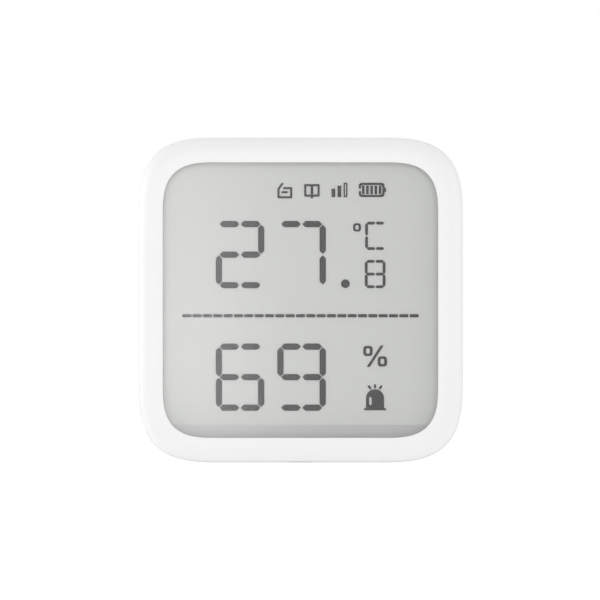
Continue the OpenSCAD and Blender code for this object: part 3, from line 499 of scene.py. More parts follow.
# %% [markdown]
# ## Blocks, turned shapes and cuts
# Much of what follows is a block or a turned shape, added to a piece or cut out of it. Blender's own
# primitives would need to be placed one by one, so a few functions draw them straight in millimetres on the
# face. The cuts are Booleans, which are safe here because every cutter is a simple closed shape.

# %% Blocks and turned shapes
RIGHT = (1, 0, 0)
BACK = (0, 1, 0)
UP = (0, 0, 1)


def block(low, high):
    """A closed block between two corners in millimetres on the face, as a bmesh."""
    shape = bmesh.new()
    bmesh.ops.create_cube(shape, size=1)
    middle = at(*[(a + b) / 2 for a, b in zip(low, high)])
    size = [(b - a) * MM for a, b in zip(low, high)]
    for v in shape.verts:
        v.co = middle + Vector((v.co.x * size[0], v.co.y * size[2], v.co.z * size[1]))
    return shape


def lathe(section, middle, axis, steps=48, bands=None, ring=False):
    """A turned shape: points of (along, radius) in millimetres around an axis through a place, as a bmesh.

    The ends are closed, or the section closes on itself as a ring. bands gives each stretch its material.
    """
    shape = bmesh.new()
    turned = Vector(UP).rotation_difference(Vector(axis)).to_matrix()
    rings = []
    for along, radius in section:
        count = steps if radius else 1
        angles = [math.tau * i / count for i in range(count)]
        spots = [Vector((radius * math.cos(a), radius * math.sin(a), along)) * MM for a in angles]
        rings.append([shape.verts.new(at(*middle) + turned @ spot) for spot in spots])
    following = rings[1:] + rings[:1] if ring else rings[1:]
    for k, (near, far) in enumerate(zip(rings, following)):
        for i in range(steps):
            j = (i + 1) % steps
            around = [near[i % len(near)], near[j % len(near)], far[j % len(far)], far[i % len(far)]]
            face = shape.faces.new(list(dict.fromkeys(around)))
            face.material_index = bands[k] if bands else 0
    ends = [] if ring else [rings[0], rings[-1]]
    for end in ends:
        if len(end) > 1:
            shape.faces.new(end)
    return shape


def skin_between(shape, near, far):
    """Adds faces to a bmesh between two rings that have as many points."""
    for i in range(len(near)):
        j = (i + 1) % len(near)
        shape.faces.new((near[i], near[j], far[j], far[i]))


print("blocks and turned shapes ready")


# %% Joining and cutting
def joined(shapes):
    """Several bmeshes as one."""
    whole = bmesh.new()
    for shape in shapes:
        part = bpy.data.meshes.new("part")
        shape.to_mesh(part)
        shape.free()
        whole.from_mesh(part)
        bpy.data.meshes.remove(part)
    return whole


def merge_in(piece, shape):
    """Adds a shape to a piece's mesh."""
    bmesh.ops.recalc_face_normals(shape, faces=shape.faces)
    shape.from_mesh(piece.data)
    shape.to_mesh(piece.data)
    shape.free()


def taken(piece):
    """A piece's mesh as a bmesh, in place of the piece."""
    shape = bmesh.new()
    shape.from_mesh(piece.data)
    bpy.data.objects.remove(piece)
    return shape


def cut(piece, shape):
    """Cuts a closed shape out of a piece."""
    cutter = from_shape("cutter", shape, white_abs)
    blade = piece.modifiers.new("cut", "BOOLEAN")
    blade.operation = "DIFFERENCE"
    blade.solver = "EXACT"
    blade.object = cutter
    settle(piece)
    bpy.data.objects.remove(cutter)


print("joining and cutting ready")

# %% [markdown]
# ## Openings, pins and latch
# Two openings in the skirt take the beads of the display's frame. Two round pins at the top are the hinge,
# each on a short web, and a round bead at the bottom snaps into a groove of the housing.

# %% Openings, pins and latch
BEAD_OPENING = {"half": 4.2, "back": 4.1, "deep": 0.6, "past": 0.4}
PIN = {"up": 30.9, "back": 5.0, "r": 0.6, "right": 12, "half": 3}
WEB = {"root": 0.3, "thick": 0.4}
LATCH = {"up": -30.4, "back": 6.05, "r": 0.45, "half": 5}


def rounded_bar(half, r, middle):
    """A round bar along the face with softened ends."""
    section = [(-half, r - EDGE), (EDGE - half, r), (half - EDGE, r), (half, r - EDGE)]
    return lathe(section, middle, RIGHT, 32)


fittings = [rounded_bar(LATCH["half"], LATCH["r"], (0, LATCH["up"], LATCH["back"]))]
for side in (-1, 1):
    walls = sorted((side * (SKIRT[0] - BEAD_OPENING["past"]), side * (SKIRT[1] + BEAD_OPENING["past"])))
    low = (walls[0], -BEAD_OPENING["half"], BEAD_OPENING["back"] - BEAD_OPENING["deep"])
    high = (walls[1], BEAD_OPENING["half"], BEAD_OPENING["back"] + BEAD_OPENING["deep"])
    cut(cover, block(low, high))
    middle = side * PIN["right"]
    fittings.append(rounded_bar(PIN["half"], PIN["r"], (middle, PIN["up"], PIN["back"])))
    low = (middle - PIN["half"], SKIRT[1] - WEB["root"], PIN["back"] - WEB["thick"])
    fittings.append(block(low, (middle + PIN["half"], PIN["up"], PIN["back"] + WEB["thick"])))
merge_in(cover, joined(fittings))
dress(ease(cover), "front_unit", "white_abs", "front_cover")

# %% [markdown]
# ## Rear housing
# The housing is a deep tub of the same plastic. Its section starts at the middle of the floor inside, climbs
# the wall to the chamfered rim, comes down outside and rounds into the back.

# %% Housing shell
HOUSING_IN = 31.0
BACK_IN = 20.2
RIM_CHAMFER = 0.5
BACK_ROUND = 2.2
FILLET = 0.6
SOFT = 0.1
housing_section = [
    (0, 0, BACK_IN),
    *arc(case_point, (HOUSING_IN - FILLET, BACK_IN - FILLET), (FILLET, FILLET), 90, 0, 4),
    case_point(HOUSING_IN, RIM + SOFT),
    case_point(HOUSING_IN + SOFT, RIM),
    case_point(CASE_HALF - RIM_CHAMFER - SOFT, RIM),
    case_point(CASE_HALF - RIM_CHAMFER + SOFT / 2, RIM + SOFT / 2),
    case_point(CASE_HALF - SOFT / 2, RIM + RIM_CHAMFER - SOFT / 2),
    case_point(CASE_HALF, RIM + RIM_CHAMFER + SOFT),
    *arc(case_point, (CASE_HALF - BACK_ROUND, CASE_BACK - BACK_ROUND), (BACK_ROUND, BACK_ROUND), 0, 90, 10),
    (0, 0, CASE_BACK),
]
housing = loft("rear_housing_shell", housing_section, white_abs)

# %% [markdown]
# ## Copies
# Vents, leads, pads and screws repeat. Copying them by hand would fill the file, so a second small tree puts
# a copy of one drawn shape on each point of a list, turned as that point says.


# %% Copies on points
def copies_on_points():
    """A tree that puts a copy of one object on each point, turned about the depth axis."""
    inputs = {"Points": "Geometry", "Pattern": "Object", "Finish": "Material"}
    tree, given = new_tree("copies_on_points", inputs, "Copies")
    pattern = add(tree, "GeometryNodeObjectInfo", {"Object": given["Pattern"]}).outputs["Geometry"]
    turn = add(tree, "GeometryNodeInputNamedAttribute", {"Name": "turn"}, data_type="FLOAT")
    euler = add(tree, "ShaderNodeCombineXYZ", {"Y": turn.outputs["Attribute"]})
    spin = add(tree, "FunctionNodeEulerToRotation", {0: euler})
    wanted = {"Points": given["Points"], "Instance": pattern, "Rotation": spin}
    copies = add(tree, "GeometryNodeInstanceOnPoints", wanted)
    return end_tree(tree, copies, given["Finish"])


COPIES = copies_on_points()


def repeat(name, pattern, places, material, turns=None):
    """One piece of many copies of a shape that is drawn around the face's front middle."""
    bmesh.ops.translate(pattern, verts=pattern.verts, vec=-at(0, 0, 0))
    model = from_shape("pattern", pattern, material)
    inputs = {"Pattern": model, "Finish": material}
    angles = [math.radians(t) for t in turns or [0] * len(places)]
    piece = grown(name, COPIES, inputs, [at(*p) for p in places], turns=angles)
    bpy.data.objects.remove(model)
    return piece


# %% [markdown]
# ## Vents
# Ten slots with round ends, five on each side, let the room's air reach the sensor chip. They are cutters
# first: one slot is drawn, copied to each place, and all of them are cut out at once.

# %% Vents
VENT = {"count": 5, "step": 3.0, "wide": 1.2, "long": 9.0, "back": 13.95, "reach": 3, "round": 10}


def vent_slot():
    """A cutter with round ends, as long as a vent and deeper than the wall."""
    r = VENT["wide"] / 2
    straight = VENT["long"] / 2 - r
    outline = []
    for end in (1, -1):
        for i in range(VENT["round"] + 1):
            angle = math.pi * i / VENT["round"]
            outline.append((end * r * math.cos(angle), end * (straight + r * math.sin(angle))))
    shape = bmesh.new()
    ends = (-VENT["reach"], VENT["reach"])
    near, far = [[shape.verts.new(at(right, *p)) for p in outline] for right in ends]
    shape.faces.new(near)
    shape.faces.new(far)
    skin_between(shape, near, far)
    return shape


SENSOR_UP = middle_of("sensor_chip")[1]
slots = []
for side in (-1, 1):
    for i in range(VENT["count"]):
        up = SENSOR_UP + (i - (VENT["count"] - 1) / 2) * VENT["step"]
        slots.append((side * CASE_HALF, up, VENT["back"]))
cut(housing, taken(repeat("vent_cutters", vent_slot(), slots, white_abs)))
print("cut", len(slots), "vents")

# %% [markdown]
# ## Wall holes, hinge seats and pry notch
# Two holes in the back take the wall's screws, and their outer edges are bevelled. The hinge pins turn in
# round seats with a little play, and a round groove takes the latch bead. At the bottom the rim has a shallow
# scoop, where a fingernail or a coin lifts the cover. All of these are turned cutters, and the scoop is a
# slice of a large round.

# %% Wall holes, seats and notch
WALL_HOLE = {"right": 20, "up": 13.5, "r": 2.1, "bevel": 0.25, "from": -2, "edge": 1.6, "to": 2.2}
NOTCH = {"half": 2.65, "deep": 1.2, "high": 0.9}
PIN_PLAY = 0.15
END_PLAY = 0.3


def seat(half, r, middle):
    """A round cutter along the face."""
    return lathe([(-half, r), (half, r)], middle, RIGHT, 32)


wide = WALL_HOLE["r"] + WALL_HOLE["bevel"]
hole = [(WALL_HOLE["from"], WALL_HOLE["r"]), (WALL_HOLE["edge"], WALL_HOLE["r"])]
hole += [(WALL_HOLE["edge"] + WALL_HOLE["bevel"], wide), (WALL_HOLE["to"], wide)]
seats = []
for side in (-1, 1):
    seats.append(lathe(hole, (side * WALL_HOLE["right"], WALL_HOLE["up"], BACK_IN), BACK))
    middle = (side * PIN["right"], PIN["up"], PIN["back"])
    seats.append(seat(PIN["half"] + END_PLAY, PIN["r"] + PIN_PLAY, middle))
seats.append(seat(LATCH["half"] + END_PLAY, LATCH["r"], (0, -HOUSING_IN, LATCH["back"])))
scoop = (NOTCH["half"] ** 2 + NOTCH["deep"] ** 2) / (2 * NOTCH["deep"])
reach = [(-NOTCH["high"], scoop), (NOTCH["high"], scoop)]
seats.append(lathe(reach, (0, -CASE_HALF, RIM + NOTCH["deep"] - scoop), UP, 96))
cut(housing, joined(seats))
print("cut the pry notch and", len(seats) - 1, "round seats")

# %% [markdown]
# ## Pads and the plunger's stop
# Inside, each wall hole has a raised ring for the screw's head, and a short tower meets the plunger of the
# lid switch when the case is closed. They start a little below the floor's surface, so no gap shows.

# %% Pads and the plunger's stop
STOP = {"r": 2.0, "up": -24.775, "front": 15.6}
PAD = {"r": 4.2, "high": 0.8}
SUNK = 0.4
CHAMFER = 0.15
front = STOP["front"] - BACK_IN
tower = [(front, STOP["r"] - CHAMFER), (front + CHAMFER, STOP["r"]), (SUNK, STOP["r"])]
inside = [lathe(tower, (0, STOP["up"], BACK_IN), BACK)]
rise = [(-PAD["high"], WALL_HOLE["r"]), (-PAD["high"], PAD["r"] - CHAMFER), (CHAMFER - PAD["high"], PAD["r"])]
pad = [*rise, (SUNK, PAD["r"]), (SUNK, WALL_HOLE["r"])]
for side in (-1, 1):
    inside.append(lathe(pad, (side * WALL_HOLE["right"], WALL_HOLE["up"], BACK_IN), BACK, ring=True))
merge_in(housing, joined(inside))
dress(ease(housing), "housing", "white_abs", "rear_housing")

# %% [markdown]
# ## Clear acrylic, film and glass
# The window is a sheet of clear acrylic with a faint anti-glare finish. Real glass shaders bend light, which
# is slow and noisy on a thin flat window that shows no bending at all. So the sheet is a mix of a surface
# that lets everything through and a soft mirror: about 4 percent of mirror straight on, and more at a slant.
# The Fresnel node would turn the inner faces into full mirrors past 42 degrees, as inside a prism, because it
# doesn't know that the sheet ends. So the slant comes from the Layer Weight node, by Schlick's short formula,
# which treats both faces alike.

# %% Clear sheets
HAZE_MM = 3
HAZE = (0.95, 1.05)
SLANT_POWER = 5.0


def clear_sheet(name, ior, roughness, tint, share):
    """A see-through sheet: tint is what it lets through, and share how far its own mirror counts."""
    made, tree, place = new_material(name)
    haze = add(tree, "ShaderNodeTexNoise", {"Vector": place, "Scale": 1 / (HAZE_MM * MM), "Detail": 2.0})
    blur = {"Value": haze, "To Min": HAZE[0] * roughness, "To Max": HAZE[1] * roughness}
    rough = add(tree, "ShaderNodeMapRange", blur)
    through = add(tree, "ShaderNodeBsdfTransparent", {"Color": linear(tint)})
    mirror = add(tree, "ShaderNodeBsdfGlossy", {"Color": WHITE, "Roughness": rough})
    straight_on = ((ior - 1) / (ior + 1)) ** 2
    slant = add(tree, "ShaderNodeLayerWeight").outputs["Facing"]
    slant = add(tree, "ShaderNodeMath", {0: slant, 1: SLANT_POWER}, operation="POWER")
    shares = {0: slant, 1: share * (1 - straight_on), 2: share * straight_on}
    part = add(tree, "ShaderNodeMath", shares, operation="MULTIPLY_ADD")
    both = add(tree, "ShaderNodeMixShader", {0: part, 1: through, 2: mirror})
    add(tree, "ShaderNodeOutputMaterial", {"Surface": both})
    return made


# The acrylic is clear and blurs what it mirrors. Film and glass lie below it, and only tint a little.
clear_acrylic = clear_sheet("clear_acrylic_anti_glare", 1.49, 0.20, "FDFDFD", 0.8)
polariser_film = clear_sheet("laminated_polariser_film", 1.50, 0.35, "F8F8F8", 0.15)
float_glass = clear_sheet("float_glass", 1.52, 0.10, "FDFDFD", 0.15)
print("made", [m.name for m in (clear_acrylic, polariser_film, float_glass)])

# %% [markdown]
# ## Window lens
# The lens is a plate with a thin flange behind the bezel, so the same loft makes it. Its front edge is
# broken by a small round that catches a line of light inside the window. Light on its way to the display
# would have to count every clear face that it passes, so the clear pieces are hidden from it.

# %% Window lens
LENS_CLEAR = 0.06
LENS_HALF = WINDOW_HALF - LENS_CLEAR
LENS_FRONT = 0.15
FLANGE = (29.3, 1.45)
LENS_BACK = corners("window_lens")[1][2]


def let_light_by(piece):
    """Lets the light that falls on the layers below pass a clear piece without counting its faces."""
    piece.visible_shadow = False
    piece.visible_diffuse = False


lens_section = [
    (0, 0, LENS_FRONT),
    *arc(window_point, (LENS_HALF - LIP, LENS_FRONT + LIP), (LIP, LIP), -90, 0, 4),
    window_point(LENS_HALF, FLANGE[1]),
    *arc(case_point, (FLANGE[0] - SOFT, FLANGE[1] + SOFT), (SOFT, SOFT), -90, 0, 2),
    *arc(case_point, (FLANGE[0] - SOFT, LENS_BACK - SOFT), (SOFT, SOFT), 0, 90, 2),
    (0, 0, LENS_BACK),
]
window = ease(loft("window_lens_plate", lens_section, clear_acrylic))
let_light_by(window)
dress(window, "front_unit", "clear_acrylic", "window_lens")

# %% [markdown]
# ## Display cell
# A segment display is a sandwich: polariser, front glass, a film of liquid crystal with its driven segments,
# rear glass and a pearly reflector. Two faces in the same plane would flicker in the render, so the clear
# layers are copies of their solids that are a hundredth of a millimetre thinner on each side.

# %% Copies of solids
SAME_MM = 0.0005
FLAT_DEGREES = 1
LAYER_GAP = 0.01


def copy_of(node):
    """A solid's mesh as a bmesh, merged, with its flat faces joined."""
    shape = bmesh.new()
    shape.from_mesh(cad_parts[node].data)
    bmesh.ops.remove_doubles(shape, verts=shape.verts, dist=SAME_MM * MM)
    flat = math.radians(FLAT_DEGREES)
    bmesh.ops.dissolve_limit(shape, angle_limit=flat, verts=shape.verts, edges=shape.edges)
    return shape


def thinner(node, gap):
    """A copy of a flat solid that stands off its neighbours by a gap, in millimetres."""
    shape = copy_of(node)
    middle = at(*middle_of(node)).y
    for v in shape.verts:
        v.co.y += gap * MM if v.co.y < middle else -gap * MM
    return shape


for node, material, slot in (
    ("lcd_polariser", polariser_film, "polariser_film"),
    ("lcd_front_glass", float_glass, "display_glass"),
):
    layer = ease(from_shape(f"{node}_layer", thinner(node, LAYER_GAP), material))
    let_light_by(layer)
    dress(layer, "front_unit", slot, node)

# %% [markdown]
# ## Field and segments
# The grey field is the reflector, seen through the rear glass. It is a film full of tiny flakes, so it looks
# pearly and a little warm, with no gloss of its own. A driven segment turns the light off, and looks like
# soft dark ink with faint mottling. The solids are already right, so they only get these two finishes. The
# rear glass and the seal around it wear the field's grey too, because that is what they let through.

# %% Reflective field and segments
PEARL_MM = 0.3
MOTTLE_MM = 0.4
DULL = 0.1


def wear(node, material):
    """Gives a solid that stays as it is its finish."""
    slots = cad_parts[node].data.materials
    slots.clear()
    slots.append(material)


display_field, tree, place = new_material("reflective_display_field")
pearl = add(tree, "ShaderNodeTexNoise", {"Vector": place, "Scale": 1 / (PEARL_MM * MM), "Detail": 2.0})
tones = {0: pearl, COLOUR_A: linear("DBDDDA"), COLOUR_B: linear("D7D9D6")}
tone = add(tree, "ShaderNodeMix", tones, data_type="RGBA").outputs[COLOUR_OUT]
rough = add(tree, "ShaderNodeMapRange", {"Value": pearl, "To Min": 0.5, "To Max": 0.6})
look = {"Base Color": tone, "Roughness": rough, "Specular IOR Level": DULL}
skin = add(tree, "ShaderNodeBsdfPrincipled", look)
add(tree, "ShaderNodeOutputMaterial", {"Surface": skin})

driven_ink, tree, place = new_material("driven_liquid_crystal")
mottle = add(tree, "ShaderNodeTexNoise", {"Vector": place, "Scale": 1 / (MOTTLE_MM * MM), "Detail": 2.0})
tones = {0: mottle, COLOUR_A: linear("2E2B2A"), COLOUR_B: linear("2A2726")}
tone = add(tree, "ShaderNodeMix", tones, data_type="RGBA").outputs[COLOUR_OUT]
look = {"Base Color": tone, "Roughness": 0.6, "Specular IOR Level": DULL}
skin = add(tree, "ShaderNodeBsdfPrincipled", look)
add(tree, "ShaderNodeOutputMaterial", {"Surface": skin})

SEGMENTS = ("lcd_temperature_digits", "lcd_small_signs", "lcd_humidity_digits", "lcd_divider", "lcd_icons")
for node in SEGMENTS:
    wear(node, driven_ink)
for node in ("lcd_reflector", "lcd_rear_glass", "lcd_seal"):
    wear(node, display_field)
print("dressed", len(SEGMENTS), "groups of segments")

# %% [markdown]
# ## Mask on the contact ledge
# Below the rear glass the front glass stands out as a ledge, where the contacts run to the board. On such a
# display a printed grey mask hides them, and the photograph shows it as a slightly darker band. The mask is
# made of two strips of the front glass's own outline, pressed thin: one on the glass's back, down to the
# contact strip, and one on its front, below the window's edge, where it hides the contact strip. The ink is
# a flat, matt grey.

# %% Ledge mask
MASK_STRIPS = (
    {"top": corners("lcd_rear_glass")[0][1], "bottom": -27.65, "front": 2.82, "back": 2.87},
    {"top": -27.55, "bottom": -29.15, "front": 2.23, "back": 2.28},
)
mask_print = moulded("printed_grey_mask", "BDBEBD", "B9BAB9", (0.50, 0.60), 0.3, 1.5)
glass_middle = at(*middle_of("lcd_front_glass")).y


def mask_strip(top, bottom, front, back):
    """A slice of the front glass between two heights, pressed between two depths."""
    shape = copy_of("lcd_front_glass")
    for up, way in ((top, 1), (bottom, -1)):
        whole = shape.verts[:] + shape.edges[:] + shape.faces[:]
        flat = {"plane_co": at(0, up, 0), "plane_no": (0, 0, way)}
        rim = bmesh.ops.bisect_plane(shape, geom=whole, clear_outer=True, **flat)["geom_cut"]
        bmesh.ops.edgeloop_fill(shape, edges=[e for e in rim if isinstance(e, bmesh.types.BMEdge)])
    for v in shape.verts:
        v.co.y = at(0, 0, front if v.co.y < glass_middle else back).y
    return shape


ledge = from_shape("ledge_mask", joined([mask_strip(**strip) for strip in MASK_STRIPS]), mask_print)
dress(ease(ledge), "front_unit", "reflector_film")

# %% [markdown]
# ## Frame, tape and contact strip
# Behind the display a grey moulded frame carries the glass and the board. A foam tape seals the lens to the
# bezel, and a strip of silicone with thin carbon layers, called a zebra strip, joins the glass to the board.
# The frame is a copy of its solid with every edge rounded a little, because no moulded edge is knife-sharp
# and the rounds catch the light. Foam looks matt and full of tiny bubbles, and the strip is striped dark and
# pale.

# %% Foam tape and zebra strip
FOAM_MM = 0.35
foam_tape, tree, place = new_material("closed_cell_foam_tape")
bubbles = add(tree, "ShaderNodeTexVoronoi", {"Vector": place, "Scale": 1 / (FOAM_MM * MM)})
tones = {0: bubbles, COLOUR_A: linear("B9BAB9"), COLOUR_B: linear("D2D3D2")}
tone = add(tree, "ShaderNodeMix", tones, data_type="RGBA").outputs[COLOUR_OUT]
bump = add(tree, "ShaderNodeBump", {"Height": bubbles, "Strength": 0.4, "Distance": 0.02 * MM})
look = {"Base Color": tone, "Roughness": 0.85, "IOR": 1.5, "Normal": bump}
skin = add(tree, "ShaderNodeBsdfPrincipled", look)
add(tree, "ShaderNodeOutputMaterial", {"Surface": skin})
wear("lens_tape", foam_tape)

# The carbon layers of the strip are 0.05 mm apart. They are drawn ten times as wide, or none would show.
# The Wave node draws 20 / tau bands in a length of 1, hence the factor in its scale.
ZEBRA_MM = 0.5
zebra, tree, place = new_material("layered_zebra_silicone")
width = {"Vector": place, "Scale": math.pi / (10 * ZEBRA_MM * MM)}
layers = add(tree, "ShaderNodeTexWave", width, bands_direction="X").outputs[1]
tones = {0: layers, COLOUR_A: linear("1D1D1E"), COLOUR_B: linear("8E8E8C")}
tone = add(tree, "ShaderNodeMix", tones, data_type="RGBA").outputs[COLOUR_OUT]
skin = add(tree, "ShaderNodeBsdfPrincipled", {"Base Color": tone, "Roughness": 0.6, "IOR": 1.41})
add(tree, "ShaderNodeOutputMaterial", {"Surface": skin})
wear("zebra_strip", zebra)
print("made", foam_tape.name, "and", zebra.name)


# %% Display frame
def softened(node, round_mm, material, slot):
    """A copy of a solid of the front unit with rounded edges, in its place."""
    mesh = bpy.data.meshes.new(f"{node}_soft")
    shape = copy_of(node)
    shape.to_mesh(mesh)
    shape.free()
    mesh.materials.append(material)
    dress(ease(new_piece(f"{node}_soft", mesh), round_mm), "front_unit", slot, node)


# Grey ABS that nobody sees is left coarser from the mould, so it looks duller than the case.
grey_abs = moulded("moulded_grey_abs", "BCBDBB", "B7B8B6", (0.50, 0.60), 0.3, 1.54)
softened("lcd_frame", 0.12, grey_abs, "grey_abs")

# %% [markdown]
# ## Circuit board
# The board is glass-fibre laminate under a green solder mask. Copper tracks below the mask show as a lighter
# green and run side by side in straight lanes. The pattern splits the board into square cells, and a random
# number of each cell says whether its lanes run level, upright or not at all. The cut edge has no mask and
# shows the tan laminate, so the direction of each face chooses between the two.

# %% Board finish
CELL_MM = 6.0
LANES = 6.0
LANE_SHARE = 0.45
LANE_PICKS = {"X": ("LESS_THAN", 0.35), "Z": ("GREATER_THAN", 0.65)}
board_laminate, tree, place = new_material("masked_glass_laminate")
per_cell = 1 / (CELL_MM * MM)
cells = add(tree, "ShaderNodeMapping", {"Vector": place, "Scale": (per_cell, 0.0, per_cell)})
corner = add(tree, "ShaderNodeVectorMath", {0: cells}, operation="FLOOR")
pick = add(tree, "ShaderNodeTexWhiteNoise", {"Vector": corner}, noise_dimensions="3D").outputs["Value"]
across = add(tree, "ShaderNodeSeparateXYZ", {0: cells}).outputs
lanes = []
for axis, (kind, limit) in LANE_PICKS.items():
    lane = add(tree, "ShaderNodeMath", {0: across[axis], 1: LANES}, operation="MULTIPLY")
    lane = add(tree, "ShaderNodeMath", {0: lane}, operation="FRACT")
    lane = add(tree, "ShaderNodeMath", {0: lane, 1: LANE_SHARE}, operation="LESS_THAN")
    here = add(tree, "ShaderNodeMath", {0: pick, 1: limit}, operation=kind)
    lanes.append(add(tree, "ShaderNodeMath", {0: lane, 1: here}, operation="MULTIPLY"))
track = add(tree, "ShaderNodeMath", {0: lanes[0], 1: lanes[1]}, operation="MAXIMUM")
tones = {0: track, COLOUR_A: linear("1F5C43"), COLOUR_B: linear("2C7555")}
mask = add(tree, "ShaderNodeMix", tones, data_type="RGBA").outputs[COLOUR_OUT]

# %% Board edge
EDGE_LIMIT = 0.5
facing = add(tree, "ShaderNodeNewGeometry").outputs["Normal"]
facing = add(tree, "ShaderNodeSeparateXYZ", {0: facing}).outputs["Y"]
facing = add(tree, "ShaderNodeMath", {0: facing}, operation="ABSOLUTE")
rim = add(tree, "ShaderNodeMath", {0: facing, 1: EDGE_LIMIT}, operation="LESS_THAN")
tones = {0: rim, COLOUR_A: mask, COLOUR_B: linear("B5A878")}
tone = add(tree, "ShaderNodeMix", tones, data_type="RGBA").outputs[COLOUR_OUT]
rough = add(tree, "ShaderNodeMapRange", {"Value": rim, "To Min": 0.32, "To Max": 0.8})
bump = add(tree, "ShaderNodeBump", {"Height": track, "Strength": 0.5, "Distance": 0.02 * MM})
look = {"Base Color": tone, "Roughness": rough, "IOR": 1.52, "Normal": bump}
skin = add(tree, "ShaderNodeBsdfPrincipled", look)
add(tree, "ShaderNodeOutputMaterial", {"Surface": skin})
wear("main_board", board_laminate)
BOARD_BACK = corners("main_board")[1][2]
print("board back face at", round(BOARD_BACK, 2), "mm")

# %% [markdown]
# ## Metals
# Sheet metal and wire keep faint streaks from the rolls and dies that made them, so the noise of a metal is
# pulled long in one direction. Tin is soft and a little cloudy, nickel and fresh solder are brighter, drawn
# aluminium is pale and satin, and the coil's copper lies under a clear enamel, which a coat on the shader
# gives.

# %% Metals
PULL = (0.15, 1.0, 1.0)


def plated(name, light, dark, gloss, streak_mm, coat=0.0):
    """A rolled or plated metal: streaks between two tones, a range of gloss, and a clear coat if asked."""
    made, tree, place = new_material(name)
    pulled = add(tree, "ShaderNodeMapping", {"Vector": place, "Scale": PULL})
    streak = add(tree, "ShaderNodeTexNoise", {"Vector": pulled, "Scale": 1 / (streak_mm * MM), "Detail": 3.0})
    tones = {0: streak, COLOUR_A: linear(light), COLOUR_B: linear(dark)}
    tone = add(tree, "ShaderNodeMix", tones, data_type="RGBA").outputs[COLOUR_OUT]
    rough = add(tree, "ShaderNodeMapRange", {"Value": streak, "To Min": gloss[0], "To Max": gloss[1]})
    look = {"Base Color": tone, "Roughness": rough, "Metallic": 1.0, "Coat Weight": coat}
    skin = add(tree, "ShaderNodeBsdfPrincipled", look)
    add(tree, "ShaderNodeOutputMaterial", {"Surface": skin})
    return made


tinned_steel = plated("tin_plated_steel", "C2C0BA", "ADABA5", (0.26, 0.38), 0.4)
nickel_steel = plated("nickel_plated_steel", "CFCCC4", "BFBCB4", (0.18, 0.28), 0.4)
tin_solder = plated("reflowed_tin_solder", "C9CACA", "B5B6B6", (0.18, 0.30), 0.3)
aluminium = plated("drawn_aluminium", "D3D4D4", "C5C6C6", (0.25, 0.35), 0.3)
copper_wire = plated("enamelled_copper", "C77646", "B5653A", (0.22, 0.32), 0.3, coat=0.5)
print("made 5 metals")

# %% [markdown]
# ## Chips on the board
# A chip is a black block of moulded epoxy, charcoal and nearly matt. The solids of the chips, the crystal
# and the radio's shield are right but for their knife-sharp edges, so softened copies stand for them.

# %% Chips
chip_epoxy = moulded("transfer_moulded_epoxy", "2E2E30", "242426", (0.55, 0.70), 0.15, 1.55)
wear("radio_chip", chip_epoxy)
softened("controller_chip", 0.10, chip_epoxy, "chip_epoxy")
softened("sensor_chip", 0.08, chip_epoxy, "chip_epoxy")
softened("crystal", 0.15, nickel_steel, "tinned_steel")
softened("radio_shield", 0.20, tinned_steel, "tinned_steel")

# %% [markdown]
# ## Leads of the controller
# The controller has bent leads on all four sides. One lead is a strip that follows a bent path, and the
# copies tree repeats it, turned towards each side.

# %% Leads
LEADS = {"count": 12, "step": 0.5, "wide": 0.24, "thick": 0.12}
LEAD_PATH = [(-0.1, 0.55), (0.2, 0.55), (0.35, 0.09), (0.7, 0.09)]


def strip(path, wide, thick):
    """A bent metal strip: its path is (out, height) in millimetres, and it is wide across the path."""
    shape = bmesh.new()
    rows = []
    for i, (out, high) in enumerate(path):
        before, after = path[max(i - 1, 0)], path[min(i + 1, len(path) - 1)]
        along = Vector((after[0] - before[0], after[1] - before[1])).normalized()
        side = Vector((-along.y, along.x)) * thick / 2
        ways = ((1, 1), (1, -1), (-1, -1), (-1, 1))
        spots = [(out + s * side.x, w * wide / 2, high + s * side.y) for s, w in ways]
        rows.append([shape.verts.new(at(*spot)) for spot in spots])
    for near, far in zip(rows, rows[1:]):
        skin_between(shape, near, far)
    shape.faces.new(rows[0])
    shape.faces.new(rows[-1])
    return shape


right, up = middle_of("controller_chip")[:2]
half = corners("controller_chip")[1][0] - right
places, turns = [], []
for turn in (0, 90, 180, 270):
    out = Vector((math.cos(math.radians(turn)), -math.sin(math.radians(turn))))
    along = Vector((-out.y, out.x))
    for i in range(LEADS["count"]):
        spot = out * half + along * (i - (LEADS["count"] - 1) / 2) * LEADS["step"]
        places.append((right + spot.x, up + spot.y, BOARD_BACK))
        turns.append(turn)
lead = strip(LEAD_PATH, LEADS["wide"], LEADS["thick"])
dress(ease(repeat("controller_leads", lead, places, tin_solder, turns)), "front_unit", "tinned_steel")

# %% [markdown]
# ## Rows of small chips
# Chip resistors and capacitors are little bricks with tinned ends. Each row is made as two pieces, one for
# the bodies and one for all the ends. The fired ceramic of a capacitor is tan and satin.

# %% Rows of small chips
CHIP = {"long": 1.6, "wide": 0.8, "end": 0.3, "step": 1.6, "inset": 0.03, "overlap": 0.05}
CHIP_COUNTS = {"chip_capacitors": 5, "chip_resistors": 6}
ceramic = moulded("fired_capacitor_ceramic", "B99C78", "AB8D68", (0.30, 0.42), 0.2, 1.7)


def soft_block(low, high, round_mm):
    """A block with rounded edges."""
    shape = block(low, high)
    bmesh.ops.bevel(shape, geom=shape.edges[:], offset=round_mm * MM, segments=1, affect="EDGES")
    return shape


def chip_row(node):
    """Places of the chips of a row, from the lowest up."""
    right, up = middle_of(node)[:2]
    first = (CHIP_COUNTS[node] - 1) / 2
    return [(right, up + (i - first) * CHIP["step"], BOARD_BACK) for i in range(CHIP_COUNTS[node])]


